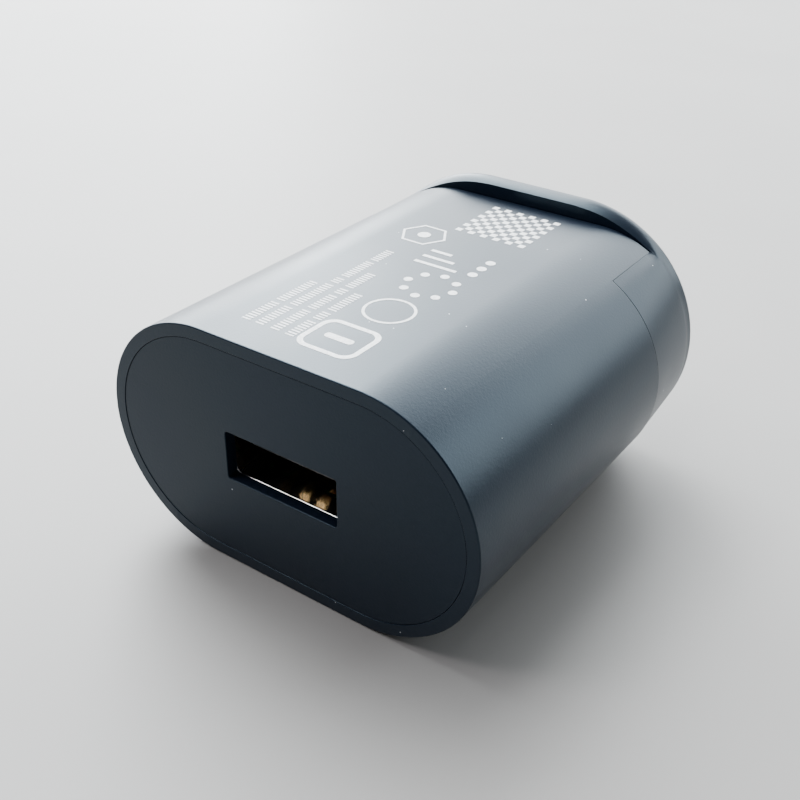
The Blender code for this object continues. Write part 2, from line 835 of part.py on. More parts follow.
def make_output_capacitors():
    """Two upright low-voltage capacitors beside the USB port. Returns their lead holes."""
    radius, height, spacing, y = 3.15 * MM, 11.0 * MM, 2.5 * MM, -37.5 * MM
    base_z = BOARD_TOP_Z + SEAT_GAP
    holes = []
    for label, side in (("left", -1), ("right", 1)):
        centre_x = side * 10.9 * MM
        name = f"output_capacitor_{label}"
        leads = []
        for number, offset in enumerate((-spacing / 2, spacing / 2)):
            x = centre_x + offset
            path = [(x, y, base_z + 0.3 * MM), (x, y, LEAD_END_Z)]
            leads.append(wire(f"{name}_lead_{number}", path, LEAD_RADIUS))
            holes.append((x, y))
        make_capacitor(name, radius, height, frame_at(centre_x, y, base_z), leads)
    return holes


def core_half(name, toward):
    """One E-shaped ferrite half. toward is 1 for the rear half and -1 for the front half."""
    half, back = CORE_WIDTH / 2, CORE_LENGTH / 2
    meet = 0.05 * MM
    window = half - CORE_LEG
    outline = [
        (-half, back),
        (-half, meet),
        (-window, meet),
        (-window, back - CORE_LEG),
        (-CENTRE_LEG / 2, back - CORE_LEG),
        (-CENTRE_LEG / 2, meet),
        (CENTRE_LEG / 2, meet),
        (CENTRE_LEG / 2, back - CORE_LEG),
        (window, back - CORE_LEG),
        (window, meet),
        (half, meet),
        (half, back),
    ]
    centre = TRANSFORMER_CENTRE
    points = [(x, centre.y + toward * y) for x, y in outline]
    low, high = centre.z - CORE_THICKNESS / 2, centre.z + CORE_THICKNESS / 2
    return extrude(name, [points], "Z", low, high, ferrite())


def make_transformer():
    """Bobbin, winding, two core halves and the tape round them. Returns the bobbin's pin holes."""
    centre = TRANSFORMER_CENTRE
    spool_half = 5.1 * MM
    flange_thickness = 0.6 * MM
    tube_outer, tube_wall = (5.6 * MM, 6.6 * MM), 0.6 * MM
    tube_inner = (tube_outer[0] - 2 * tube_wall, tube_outer[1] - 2 * tube_wall)

    def centred(size, radius=0.0):
        return rectangle(*size, radius, centre=(0, centre.z))

    spool_front, spool_rear = centre.y - spool_half, centre.y + spool_half
    bobbin = extrude(
        "transformer_bobbin", [centred(tube_outer)], "Y", spool_front, spool_rear, black_plastic()
    )
    holes = []
    for toward in (-1, 1):
        outside = centre.y + toward * spool_half
        inside = outside - toward * flange_thickness
        flange_low, flange_high = min(inside, outside), max(inside, outside)
        flange_outline = centred((11.6 * MM, 11.2 * MM), 0.5 * MM)
        flange = extrude(f"flange_{toward}", [flange_outline], "Y", flange_low, flange_high)
        foot_y = centre.y + toward * 6.0 * MM
        foot = box(
            f"foot_{toward}",
            (-6.6 * MM, min(foot_y + toward * 1.3 * MM, inside), BOARD_TOP_Z + SEAT_GAP),
            (6.6 * MM, max(foot_y + toward * 1.3 * MM, inside), centre.z - CORE_THICKNESS / 2 - 0.9 * MM),
        )
        pin_places = [(x * MM, foot_y) for x in (-5.4, -1.8, 1.8, 5.4)]
        pins = cylinders(f"bobbin_pins_{toward}", pin_places, LEAD_RADIUS, LEAD_END_Z, BOARD_TOP_Z + 1 * MM)
        join(bobbin, flange, foot, pins)
        holes += pin_places
    core_hole = extrude(
        "core_hole", [centred(tube_inner)], "Y", centre.y - 2 * spool_half, centre.y + 2 * spool_half
    )
    cut(bobbin, core_hole)
    winding_half = spool_half - flange_thickness - SEAT_GAP
    winding = extrude(
        "transformer_winding",
        [
            centred((11.2 * MM, 10.8 * MM), 2.0 * MM),
            centred((tube_outer[0] + 0.2 * MM, tube_outer[1] + 0.2 * MM)),
        ],
        "Y",
        centre.y - winding_half,
        centre.y + winding_half,
        copper(),
    )
    smooth(winding)
    core_half("transformer_core_front", -1)
    core_half("transformer_core_rear", 1)
    tape_gap, tape_wall = 0.08 * MM, 0.12 * MM
    inner = (CORE_WIDTH + 2 * tape_gap, CORE_LENGTH + 2 * tape_gap)
    outer = (inner[0] + 2 * tape_wall, inner[1] + 2 * tape_wall)
    extrude(
        "transformer_tape",
        [rectangle(*outer, centre=(0, centre.y)), rectangle(*inner, centre=(0, centre.y))],
        "Z",
        centre.z - CORE_THICKNESS / 2 + 0.3 * MM,
        centre.z + CORE_THICKNESS / 2 - 0.3 * MM,
        tape(),
    )
    return holes


def make_fuse_resistor():
    """A fusible resistor lying along X by the neutral pin. Returns its lead holes."""
    y, z, radius = -9.2 * MM, -1.7 * MM, 1.4 * MM
    ends = (-14.6 * MM, -9.6 * MM)
    turn = Matrix.Translation(((ends[0] + ends[1]) / 2, y, z)) @ Matrix.Rotation(math.pi / 2, 4, "Y")
    half = (ends[1] - ends[0]) / 2
    profile = [
        (0, half),
        (radius * 0.9, half),
        (radius, half * 0.8),
        (radius * 0.82, half * 0.55),
        (radius * 0.82, -half * 0.55),
        (radius, -half * 0.8),
        (radius * 0.9, -half),
        (0, -half),
    ]
    green = material("resistor_green", (0.1, 0.25, 0.14), 0.5)
    body = turned("fuse_resistor", profile, green, turn, steps=16)
    holes = [(ends[0] - 1.0 * MM, y), (ends[1] + 0.9 * MM, y)]
    lead = wire(
        "fuse_lead",
        [
            (holes[0][0], y, LEAD_END_Z),
            (holes[0][0], y, z - 0.3 * MM),
            (holes[0][0] + 0.3 * MM, y, z),
            (holes[1][0] - 0.3 * MM, y, z),
            (holes[1][0], y, z - 0.3 * MM),
            (holes[1][0], y, LEAD_END_Z),
        ],
        LEAD_RADIUS,
    )
    join(body, lead)
    smooth(body)
    return holes


def make_choke():
    """A drum-core choke between the plug pins. Returns its lead holes."""
    x, y = 0.0, -8.9 * MM
    base_z = BOARD_TOP_Z + SEAT_GAP
    drum, neck, height = 2.3 * MM, 1.2 * MM, 7.0 * MM
    flange = 0.9 * MM
    profile = [
        (0, height),
        (drum, height),
        (drum, height - flange),
        (neck, height - flange),
        (neck, flange),
        (drum, flange),
        (drum, 0),
        (0, 0),
    ]
    core = turned("emi_choke_core", profile, ferrite(), frame_at(x, y, base_z), steps=20)
    holes = [(x - 1.5 * MM, y), (x + 1.5 * MM, y)]
    join(core, cylinders("choke_leads", holes, LEAD_RADIUS, LEAD_END_Z, base_z + 0.5 * MM))
    smooth(core)
    coil_high, coil_low = height - flange - SEAT_GAP, flange + SEAT_GAP
    coil = [
        (neck + SEAT_GAP, coil_high),
        (drum - 0.25 * MM, coil_high),
        (drum - 0.25 * MM, coil_low),
        (neck + SEAT_GAP, coil_low),
    ]
    smooth(turned("emi_choke_winding", coil, copper(), frame_at(x, y, base_z), steps=20, closed=True))
    return holes


def make_film_capacitor():
    """The boxed capacitor across the mains, by the active pin. Returns its lead holes."""
    low = (9.0 * MM, -11.0 * MM, BOARD_TOP_Z + SEAT_GAP)
    high = (15.6 * MM, -7.6 * MM, 3.0 * MM)
    y = (low[1] + high[1]) / 2
    body = bevel(box("film_capacitor", low, high, tape()), 0.3 * MM, 1)
    holes = [(low[0] + 0.9 * MM, y), (high[0] - 0.9 * MM, y)]
    join(body, cylinders("film_leads", holes, LEAD_RADIUS, LEAD_END_Z, low[2] + 0.5 * MM))
    return holes


def make_safety_capacitor():
    """The ceramic disc that bridges the mains side and the USB side. Returns its lead holes."""
    x, y, radius, half = -11.6 * MM, -30.6 * MM, 3.3 * MM, 1.2 * MM
    z = BOARD_TOP_Z + 0.8 * MM + radius
    turn = Matrix.Translation((x, y, z)) @ Matrix.Rotation(math.pi / 2, 4, "X")
    profile = [
        (0, half),
        (radius * 0.8, half * 0.95),
        (radius * 0.97, half * 0.6),
        (radius, 0),
        (radius * 0.97, -half * 0.6),
        (radius * 0.8, -half * 0.95),
        (0, -half),
    ]
    disc = turned("safety_capacitor", profile, ceramic_blue(), turn)
    holes = [(x - 2.2 * MM, y), (x + 2.2 * MM, y)]
    join(disc, cylinders("safety_leads", holes, LEAD_RADIUS, LEAD_END_Z, z - 0.8 * MM))
    smooth(disc)
    return holes


def make_chip(name, x, y, size, legs_each_side):
    """A chip under the board, with its legs along both long sides."""
    width, depth, height = size
    top = BOARD_BOTTOM_Z - SEAT_GAP
    body = box(
        name,
        (x - width / 2, y - depth / 2, top - 0.1 * MM - height),
        (x + width / 2, y + depth / 2, top - 0.1 * MM),
        epoxy(),
    )
    bevel(body, 0.12 * MM, 1)
    pitch = width / legs_each_side
    for side in (-1, 1):
        for number in range(legs_each_side):
            leg_x = x - width / 2 + pitch * (number + 0.5)
            root_y = y + side * (depth / 2 - 0.3 * MM)
            tip_y = y + side * (depth / 2 + 1.0 * MM)
            leg = box(
                f"{name}_leg_{side}_{number}",
                (leg_x - 0.2 * MM, min(root_y, tip_y), top - 0.55 * MM),
                (leg_x + 0.2 * MM, max(root_y, tip_y), top - 0.3 * MM),
            )
            join(body, leg)
    return body


def make_surface_part(name, x, y, size, finish):
    """A small square-ended part soldered under the board."""
    top = BOARD_BOTTOM_Z - SEAT_GAP
    low = (x - size[0] / 2, y - size[1] / 2, top - size[2])
    return box(name, low, (x + size[0] / 2, y + size[1] / 2, top), finish)


def make_board_side_parts():
    """Everything soldered flat under the board, and what carries the heat to the tube."""
    make_chip("controller_chip", -7.0 * MM, -19.0 * MM, (4.9 * MM, 3.9 * MM, 1.45 * MM), 4)
    make_chip("rectifier_chip", 0.0, -35.5 * MM, (4.9 * MM, 3.9 * MM, 1.45 * MM), 4)
    make_chip("bridge_rectifier", 4.0 * MM, -16.5 * MM, (4.7 * MM, 3.9 * MM, 2.3 * MM), 2)
    ceramic = material("surface_ceramic", (0.45, 0.33, 0.2), 0.5)
    resistor = material("surface_resistor", (0.03, 0.03, 0.035), 0.4)
    make_surface_part("sense_resistor", -1.0 * MM, -20.5 * MM, (3.2 * MM, 1.6 * MM, 0.6 * MM), resistor)
    make_surface_part("snubber_resistor", 9.5 * MM, -20.0 * MM, (3.2 * MM, 1.6 * MM, 0.6 * MM), resistor)
    make_surface_part("snubber_capacitor", 9.5 * MM, -16.5 * MM, (3.2 * MM, 1.6 * MM, 1.2 * MM), ceramic)
    make_surface_part("supply_capacitor", -13.0 * MM, -19.0 * MM, (2.0 * MM, 1.25 * MM, 1.0 * MM), ceramic)
    box(
        "thermal_pad",
        (-6.0 * MM, -37.2 * MM, -INNER_RADIUS + SEAT_GAP),
        (6.0 * MM, -33.8 * MM, BOARD_BOTTOM_Z - 1.9 * MM),
        silicone(),
    )
    box(
        "insulation_sheet",
        (-8.0 * MM, -30.0 * MM, -INNER_RADIUS + SEAT_GAP),
        (8.0 * MM, SKIRT_FRONT_Y - 2 * MM, -INNER_RADIUS + SEAT_GAP + 0.25 * MM),
        film(),
    )


def main():
    make_sleeve()
    make_front_panel()
    make_plug_base()
    for label, side in (("active", 1), ("neutral", -1)):
        make_pin(f"pin_{label}", side)
        make_pin_insulator(f"pin_insulator_{label}", side)
        make_pin_lead(f"pin_lead_{label}", side)
    make_usb_shell()
    make_usb_insulator()
    for number, x in enumerate(CONTACT_X, 1):
        make_usb_contact(number, x)
        make_usb_terminal(number, x)
    holes = [(side * PIN_SPACING / 2, -PIN_TAIL - 1.2 * MM) for side in (-1, 1)]
    holes += [(x, TERMINAL_DROP_Y) for x in CONTACT_X]
    holes += make_input_capacitors()
    holes += make_output_capacitors()
    holes += make_transformer()
    holes += make_fuse_resistor()
    holes += make_choke()
    holes += make_film_capacitor()
    holes += make_safety_capacitor()
    make_board(holes)
    make_board_side_parts()


main()
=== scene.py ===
"""The looks of the USB wall charger: smooth housing, USB socket, plug blades, printed marks and materials.

Everything is in metres in the part's own frame: +Z up, +Y into the wall socket, origin in the plug face.
"""

import json
import math

import bmesh
import bpy
from mathutils import Matrix, Vector


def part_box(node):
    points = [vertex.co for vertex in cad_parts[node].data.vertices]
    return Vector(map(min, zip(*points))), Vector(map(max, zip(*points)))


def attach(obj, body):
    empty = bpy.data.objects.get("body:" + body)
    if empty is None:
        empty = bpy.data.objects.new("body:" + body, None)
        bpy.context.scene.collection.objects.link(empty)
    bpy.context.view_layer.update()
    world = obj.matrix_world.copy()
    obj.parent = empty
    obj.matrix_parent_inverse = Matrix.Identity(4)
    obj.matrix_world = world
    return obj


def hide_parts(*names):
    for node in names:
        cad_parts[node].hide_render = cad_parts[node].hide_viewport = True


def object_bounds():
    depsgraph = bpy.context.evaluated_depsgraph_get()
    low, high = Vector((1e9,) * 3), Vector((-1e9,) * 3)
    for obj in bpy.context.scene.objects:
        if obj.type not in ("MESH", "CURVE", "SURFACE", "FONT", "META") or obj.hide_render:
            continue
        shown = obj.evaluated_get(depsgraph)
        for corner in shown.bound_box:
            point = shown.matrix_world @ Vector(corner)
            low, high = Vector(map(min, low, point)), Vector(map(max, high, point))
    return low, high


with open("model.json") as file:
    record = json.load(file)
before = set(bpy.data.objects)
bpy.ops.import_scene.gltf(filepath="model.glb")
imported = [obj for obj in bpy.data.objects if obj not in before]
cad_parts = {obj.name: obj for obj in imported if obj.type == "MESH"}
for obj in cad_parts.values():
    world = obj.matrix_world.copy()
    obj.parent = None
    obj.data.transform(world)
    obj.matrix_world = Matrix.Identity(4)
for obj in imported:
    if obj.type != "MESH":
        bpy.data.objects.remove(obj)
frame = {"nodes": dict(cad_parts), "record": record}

CAD_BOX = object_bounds()
MM = 0.001
BODY = "charger"

# ---------------------------------------------------------------- sizes taken from the part

TUBE_LOW, TUBE_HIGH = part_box("housing_sleeve")
PANEL_LOW, PANEL_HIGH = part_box("front_panel")
BASE_LOW, BASE_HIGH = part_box("plug_base")
SHELL_LOW, SHELL_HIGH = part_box("usb_shell")
TONGUE_LOW, TONGUE_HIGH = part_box("usb_insulator")

TUBE_RADIUS = TUBE_HIGH.z
TUBE_STRAIGHT = TUBE_HIGH.x - TUBE_RADIUS
PANEL_RADIUS = PANEL_HIGH.z
RIM_RADIUS = BASE_HIGH.z
EAR_FRONT_Y = BASE_LOW.y
FACE_Y = BASE_HIGH.y

# Sizes of features inside those boxes.
WALL = 1.6 * MM
PANEL_SEAT_GAP = 0.1 * MM
FRONT_EDGE_RADIUS = 0.14 * MM
PARTING_GAP = 0.015 * MM
TONGUE_EDGE_RADIUS = 0.16 * MM
EAR_ROOM_EDGE_RADIUS = 0.2 * MM
LIP_RADIUS = PANEL_RADIUS + 0.03 * MM
GROOVE_DEPTH = 0.08 * MM
GROOVE_EDGE_RADIUS = 0.05 * MM
RIM_STRAIGHT = 5.75 * MM
RIM_EDGE_RADIUS = 0.8 * MM
RIM_CREST_Y = FACE_Y - RIM_EDGE_RADIUS
STEP_Y = FACE_Y - 2.3 * MM
EAR_SPLIT_ANGLE = math.radians(61)
EAR_SPLIT_X = TUBE_STRAIGHT + TUBE_RADIUS * math.cos(EAR_SPLIT_ANGLE)
EAR_DROP = 0.05 * MM

# How far the base's outline has grown from the tube's to the rim's where it steps up from the tube,
# and how far from the ears' seams it takes to get there, on the rim's side and on the ears' side.
RIM_GROWTH_AT_STEP = 0.77
EAR_GROWTH_AT_STEP = 0.85
RIM_FADE = 8.0 * MM
EAR_FADE = 4.0 * MM

# The USB opening in the panel, the pocket behind it, and the shell.
PORT_WIDTH = 12.7 * MM
PORT_HEIGHT = 5.1 * MM
PORT_CORNER = 0.3 * MM
PORT_EDGE_RADIUS = 0.09 * MM
POCKET_WIDTH = 13.5 * MM
POCKET_HEIGHT = 6.12 * MM
POCKET_CORNER = 0.7 * MM
SHEET = 0.3 * MM
SIDE_SHEET = 0.12 * MM
SHELL_TOP_Z = SHELL_HIGH.z
SHELL_HALF_WIDTH = SHELL_HIGH.x
SHELL_BEND = 0.55 * MM
MOUTH_BEND = 1.0 * MM
MOUTH_DEPTH = 1.2 * MM
MOUTH_EDGE_RADIUS = 0.09 * MM
SPRING_X = 3.4 * MM

# The sprung contacts and the tongue that holds them.
CONTACTS = range(1, 5)
CONTACT_THICKNESS = 0.22 * MM
CONTACT_ROOT_Z = 0.45 * MM
TONGUE_HALF_WIDTH = 5.55 * MM
TONGUE_BOTTOM = 0.02 * MM
TONGUE_TOP = 1.86 * MM

# Plug blades. The waist is what a blade loses of its width and thickness under its insulation, and the
# bore is what the insulation's inside is narrower and thinner than the blade.
BLADE_WIDTH = 6.35 * MM
BLADE_THICKNESS = 1.6 * MM
BLADE_TILT = math.radians(30)
BLADE_CORNER = 0.3 * MM
BLADE_SLOT_GAP = 0.06 * MM
BLADE_WAIST = 0.8 * MM
INSULATION_BORE = 0.72 * MM

# How finely round outlines are cut into straight steps.
ROUND_STEPS = 72
FLAT_STEPS = 12
DOT_SIDES = 24

# Edges that turn by more than the first are rounded, and those over the second are shaded sharp.
BEVEL_ANGLE = math.radians(32)
SHARP_ANGLE = math.radians(50)

# Looks that several pieces share. The dust share is how many cells of the surface hold a speck.
PLASTIC_COLOUR = (0.0045, 0.0085, 0.018)
DUST_SHARE = 0.08
DAYLIGHT = (0.93, 0.975, 1.0)

# ---------------------------------------------------------------- mesh helpers


def seam_snapped(angle):
    """The angle, or the ears' seam angle if that is the nearest step, so that an edge lies on the seam."""
    if abs(abs(angle) - EAR_SPLIT_ANGLE) < math.pi / ROUND_STEPS / 2:
        return math.copysign(EAR_SPLIT_ANGLE, angle)
    return angle


def stadium(straight, radius, y):
    """Points round an oval at y, anticlockwise as seen from the front."""
    ring = []
    for side in (1, -1):
        for step in range(ROUND_STEPS + 1):
            angle = seam_snapped(-math.pi / 2 + math.pi * step / ROUND_STEPS)
            x = straight + radius * math.cos(angle)
            ring.append(Vector((side * x, y, side * radius * math.sin(angle))))
        for step in range(1, FLAT_STEPS):
            ring.append(Vector((side * straight * (1 - 2 * step / FLAT_STEPS), y, side * radius)))
    return ring


def round_rectangle(width, height, radius, y, centre=(0, 0)):
    """As many points as stadium() gives, round a rectangle with round corners."""
    quarter = ROUND_STEPS // 4
    side_steps = ROUND_STEPS - 2 * quarter
    flat_x, flat_z = width / 2 - radius, height / 2 - radius
    half = []
    for step in range(quarter + 1):
        angle = -math.pi / 2 + math.pi / 2 * step / quarter
        half.append((flat_x + radius * math.cos(angle), -flat_z + radius * math.sin(angle)))
    for step in range(1, side_steps):
        half.append((width / 2, flat_z * (2 * step / side_steps - 1)))
    for step in range(quarter + 1):
        angle = math.pi / 2 * step / quarter
        half.append((flat_x + radius * math.cos(angle), flat_z + radius * math.sin(angle)))
    for step in range(1, FLAT_STEPS):
        half.append((flat_x * (1 - 2 * step / FLAT_STEPS), height / 2))
    ring = [(x, z) for x, z in half] + [(-x, -z) for x, z in half]
    return [Vector((centre[0] + x, y, centre[1] + z)) for x, z in ring]


def quarter_round(radius, steps=6):
    """(inset, rise) pairs round a quarter circle, from flat on the end face to flush with the side."""
    turns = [math.pi / 2 * step / steps for step in range(steps + 1)]
    return [(radius * (1 - math.sin(turn)), radius * (1 - math.cos(turn))) for turn in turns]


def object_from(name, shape):
    """A piece from a bmesh, with its faces pointing out."""
    bmesh.ops.remove_doubles(shape, verts=shape.verts, dist=1e-8)
    bmesh.ops.recalc_face_normals(shape, faces=shape.faces)
    mesh = bpy.data.meshes.new(name)
    shape.to_mesh(mesh)
    shape.free()
    made = bpy.data.objects.new(name, mesh)
    bpy.context.scene.collection.objects.link(made)
    return made


def skin(name, rings, closed=False):
    """A solid through rings of equal point counts. Its ends are capped, or joined if it is closed."""
    shape = bmesh.new()
    verts = [[shape.verts.new(point) for point in ring] for ring in rings]
    count = len(verts[0])
    pairs = list(zip(verts, verts[1:])) + ([(verts[-1], verts[0])] if closed else [])
    for first, second in pairs:
        for i in range(count):
            j = (i + 1) % count
            shape.faces.new((first[i], first[j], second[j], second[i]))
    if not closed:
        shape.faces.new(verts[0])
        shape.faces.new(verts[-1])
    return object_from(name, shape)


def box(name, low, high):
    """A block between two corners."""
    shape = bmesh.new()
    bmesh.ops.create_cube(shape, size=1)
    low, high = Vector(low), Vector(high)
    place = Matrix.Translation((low + high) / 2) @ Matrix.Diagonal((high - low).to_4d())
    bmesh.ops.transform(shape, verts=shape.verts, matrix=place)
    return object_from(name, shape)


def evaluated_mesh(thing):
    """A new mesh of an object with its modifiers applied."""
    bpy.context.view_layer.update()
    graph = bpy.context.evaluated_depsgraph_get()
    return bpy.data.meshes.new_from_object(thing.evaluated_get(graph))


def apply_modifiers(thing):
    """Puts an object's modifiers into its mesh."""
    made = evaluated_mesh(thing)
    thing.modifiers.clear()
    old = thing.data
    thing.data = made
    bpy.data.meshes.remove(old)


def boolean(thing, other, operation="DIFFERENCE"):
    """Cuts or joins, and removes the other object."""
    modifier = thing.modifiers.new("boolean", "BOOLEAN")
    modifier.operation = operation
    modifier.object = other
    apply_modifiers(thing)
    bpy.data.objects.remove(other)


def round_edges(thing, radius, is_on_edge):
    """Rounds the edges whose two ends both pass the test."""
    shape = bmesh.new()
    shape.from_mesh(thing.data)
    bmesh.ops.remove_doubles(shape, verts=shape.verts, dist=0.001 * MM)
    edges = [edge for edge in shape.edges if all(is_on_edge(vert.co) for vert in edge.verts)]
    bmesh.ops.bevel(
        shape, geom=edges, offset=radius, segments=4, profile=0.5, affect="EDGES", clamp_overlap=True
    )
    shape.to_mesh(thing.data)
    shape.free()


def soften(thing, width, segments=2):
    """Rounds the sharp edges a little, and keeps flat faces shading flat."""
    if width:
        bevel = thing.modifiers.new("edges", "BEVEL")
        bevel.width = width
        bevel.segments = segments
        bevel.limit_method = "ANGLE"
        bevel.angle_limit = BEVEL_ANGLE
        bevel.use_clamp_overlap = True
        apply_modifiers(thing)
    thing.data.shade_smooth()
    thing.data.set_sharp_from_angle(angle=SHARP_ANGLE)
    normals = thing.modifiers.new("flat_faces", "WEIGHTED_NORMAL")
    normals.keep_sharp = True
    return thing


def finish(piece, material, nodes=(), body=BODY):
    """Gives a piece its material and body, and hides the CAD nodes it stands for."""
    piece.data.materials.clear()
    piece.data.materials.append(material)
    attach(piece, body)
    if nodes:
        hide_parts(*nodes)


# ---------------------------------------------------------------- material helpers


class Shader:
    """A Principled material whose colour, roughness and bump come from noise in the part's own frame."""

    def __init__(self, name, colour, roughness, metallic=0.0, ior=1.5):
        """Starts with even values."""
        self.material = bpy.data.materials.new(name)
        self.material.use_nodes = True
        self.tree = self.material.node_tree
        self.surface = self.tree.nodes["Principled BSDF"]
        self.surface.inputs["Base Color"].default_value = (*colour, 1)
        self.surface.inputs["Roughness"].default_value = roughness
        self.surface.inputs["Metallic"].default_value = metallic
        self.surface.inputs["IOR"].default_value = ior
        self.place = self.tree.nodes.new("ShaderNodeTexCoord").outputs["Object"]

    def node(self, kind, **settings):
        """A new shader node with its settings."""
        made = self.tree.nodes.new(kind)
        for key, value in settings.items():
            setattr(made, key, value)
        return made

    def link(self, source, target):
        """Feeds one socket into another."""
        self.tree.links.new(source, target)

    def stretched(self, scale):
        """The part's coordinates, scaled."""
        mapping = self.node("ShaderNodeMapping")
        mapping.inputs["Scale"].default_value = scale
        self.link(self.place, mapping.inputs["Vector"])
        return mapping.outputs["Vector"]

    def noise(self, size, detail=3.0, stretch=(1, 1, 1)):
        """Noise with features of about the given size in metres, from 0 to 1."""
        made = self.node("ShaderNodeTexNoise")
        made.inputs["Scale"].default_value = 1.0
        made.inputs["Detail"].default_value = detail
        self.link(self.stretched([part / size for part in stretch]), made.inputs["Vector"])
        return made.outputs["Fac"]

    def remap(self, value, low, high, from_low=0.0, from_high=1.0):
        """The value, stretched to run from low to high."""
        made = self.node("ShaderNodeMapRange")
        made.inputs["From Min"].default_value = from_low
        made.inputs["From Max"].default_value = from_high
        made.inputs["To Min"].default_value = low
        made.inputs["To Max"].default_value = high
        self.link(value, made.inputs["Value"])
        return made.outputs["Result"]

    def ramp(self, value, *stops):
        """A colour for each value, from (value, colour) stops."""
        made = self.node("ShaderNodeValToRGB")
        points = made.color_ramp.elements
        while len(points) < len(stops):
            points.new(0.5)
        for point, (at, colour) in zip(points, stops):
            point.position = at
            point.color = (*colour, 1)
        self.link(value, made.inputs["Fac"])
        return made.outputs["Color"]

    def mix(self, factor, first, second):
        """Colours mixed by a factor. Each may be a socket or a colour."""
        made = self.node("ShaderNodeMix", data_type="RGBA")
        for index, value in ((0, factor), (6, first), (7, second)):
            if isinstance(value, bpy.types.NodeSocket):
                self.link(value, made.inputs[index])
            else:
                made.inputs[index].default_value = value if index == 0 else (*value, 1)
        return made.outputs[2]

    def math(self, operation, first, second):
        """The result of a sum. Each side may be a socket or a number."""
        made = self.node("ShaderNodeMath", operation=operation)
        for index, value in ((0, first), (1, second)):
            if isinstance(value, bpy.types.NodeSocket):
                self.link(value, made.inputs[index])
            else:
                made.inputs[index].default_value = value
        return made.outputs[0]

    def bump(self, height, depth, strength):
        """Raises the surface by up to depth metres."""
        made = self.node("ShaderNodeBump")
        made.inputs["Strength"].default_value = strength
        made.inputs["Distance"].default_value = depth
        self.link(height, made.inputs["Height"])
        previous = self.surface.inputs["Normal"].links
        if previous:
            self.link(previous[0].from_socket, made.inputs["Normal"])
        self.link(made.outputs["Normal"], self.surface.inputs["Normal"])

    def colour(self, socket):
        """Takes the base colour from a socket."""
        self.link(socket, self.surface.inputs["Base Color"])

    def roughness(self, socket):
        """Takes the roughness from a socket."""
        self.link(socket, self.surface.inputs["Roughness"])


def shade(colour, amount):
    """A colour made darker or lighter."""
    return tuple(min(1.0, part * amount) for part in colour)


# ---------------------------------------------------------------- materials


def moulded_plastic(name, colour, roughness, ior, dust):
    """Satin moulded plastic: a spark-eroded grain, slow changes of sheen, and a few specks of dust."""
    made = Shader(name, colour, roughness, ior=ior)
    made.surface.inputs["Specular Tint"].default_value = (0.62, 0.86, 1.0, 1)
    cloud = made.noise(14 * MM, 2)
    grain = made.noise(0.11 * MM, 2)
    pores = made.noise(0.24 * MM, 1)
    toned = made.ramp(cloud, (0.3, shade(colour, 0.9)), (0.7, shade(colour, 1.12)))
    cells = made.node("ShaderNodeTexVoronoi")
    cells.inputs["Scale"].default_value = 1 / (1.2 * MM)
    made.link(made.place, cells.inputs["Vector"])
    in_speck = made.math("LESS_THAN", cells.outputs["Distance"], 0.05)
    chance = made.node("ShaderNodeSeparateColor")
    made.link(cells.outputs["Color"], chance.inputs["Color"])
    is_dusty = made.math("LESS_THAN", chance.outputs["Red"], dust)
    speck = made.math("MULTIPLY", in_speck, is_dusty)
    made.colour(made.mix(speck, toned, (0.62, 0.64, 0.66)))
    made.roughness(made.remap(cloud, roughness - 0.04, roughness + 0.04, 0.3, 0.7))
    made.bump(pores, 0.009 * MM, 0.8)
    made.bump(grain, 0.006 * MM, 0.8)
    return made.material


def printed_ink():
    """White pad-printed ink, slightly uneven and a little worn."""
    colour = (0.9, 0.91, 0.91)
    made = Shader("printed_ink", colour, 0.5)
    blot = made.noise(0.35 * MM, 3)
    made.colour(made.ramp(blot, (0.25, shade(colour, 0.72)), (0.55, colour)))
    made.roughness(made.remap(blot, 0.6, 0.45))
    made.bump(made.noise(0.12 * MM, 2), 0.004 * MM, 0.7)
    return made.material


def plated_metal(name, colour, roughness, along=(1, 0.08, 1)):
    """Bright plated metal with fine drawing lines and slight tarnish."""
    made = Shader(name, colour, roughness, metallic=1.0)
    lines = made.noise(0.12 * MM, 3, along)
    tarnish = made.noise(2.2 * MM, 3)
    made.colour(made.ramp(tarnish, (0.3, shade(colour, 0.86)), (0.7, colour)))
    drawn = made.remap(lines, -0.05, 0.07)
    dulled = made.remap(tarnish, roughness + 0.05, roughness)
    made.roughness(made.math("ADD", drawn, dulled))
    made.bump(lines, 0.0015 * MM, 0.6)
    return made.material


def plain_moulding(name, colour, roughness, grain=0.2 * MM):
    """A small moulding: faint flow marks, fine grain and uneven gloss."""
    made = Shader(name, colour, roughness)
    flow = made.noise(2.5 * MM, 3, (1, 0.4, 1))
    made.colour(made.ramp(flow, (0.3, shade(colour, 0.8)), (0.7, shade(colour, 1.25))))
    made.roughness(made.remap(flow, roughness - 0.08, roughness + 0.08))
    made.bump(made.noise(grain, 2), 0.01 * MM, 0.6)
    return made.material


def wound_wire(name, colour):
    """Turns of enamelled wire, side by side along Y, with painted shade in the grooves between turns."""
    made = Shader(name, colour, 0.3, metallic=1.0)
    turns = made.node("ShaderNodeTexWave", wave_type="BANDS", bands_direction="Y")
    turns.inputs["Scale"].default_value = 1 / (1.2 * MM)
    turns.inputs["Distortion"].default_value = 0.6
    made.link(made.place, turns.inputs["Vector"])
    # The darker part of each band is painted shade in the groove between two turns.
    made.colour(made.ramp(turns.outputs["Fac"], (0.1, shade(colour, 0.3)), (0.6, colour)))
    made.roughness(made.remap(made.noise(1.0 * MM), 0.2, 0.45))
    made.bump(turns.outputs["Fac"], 0.08 * MM, 0.9)
    return made.material


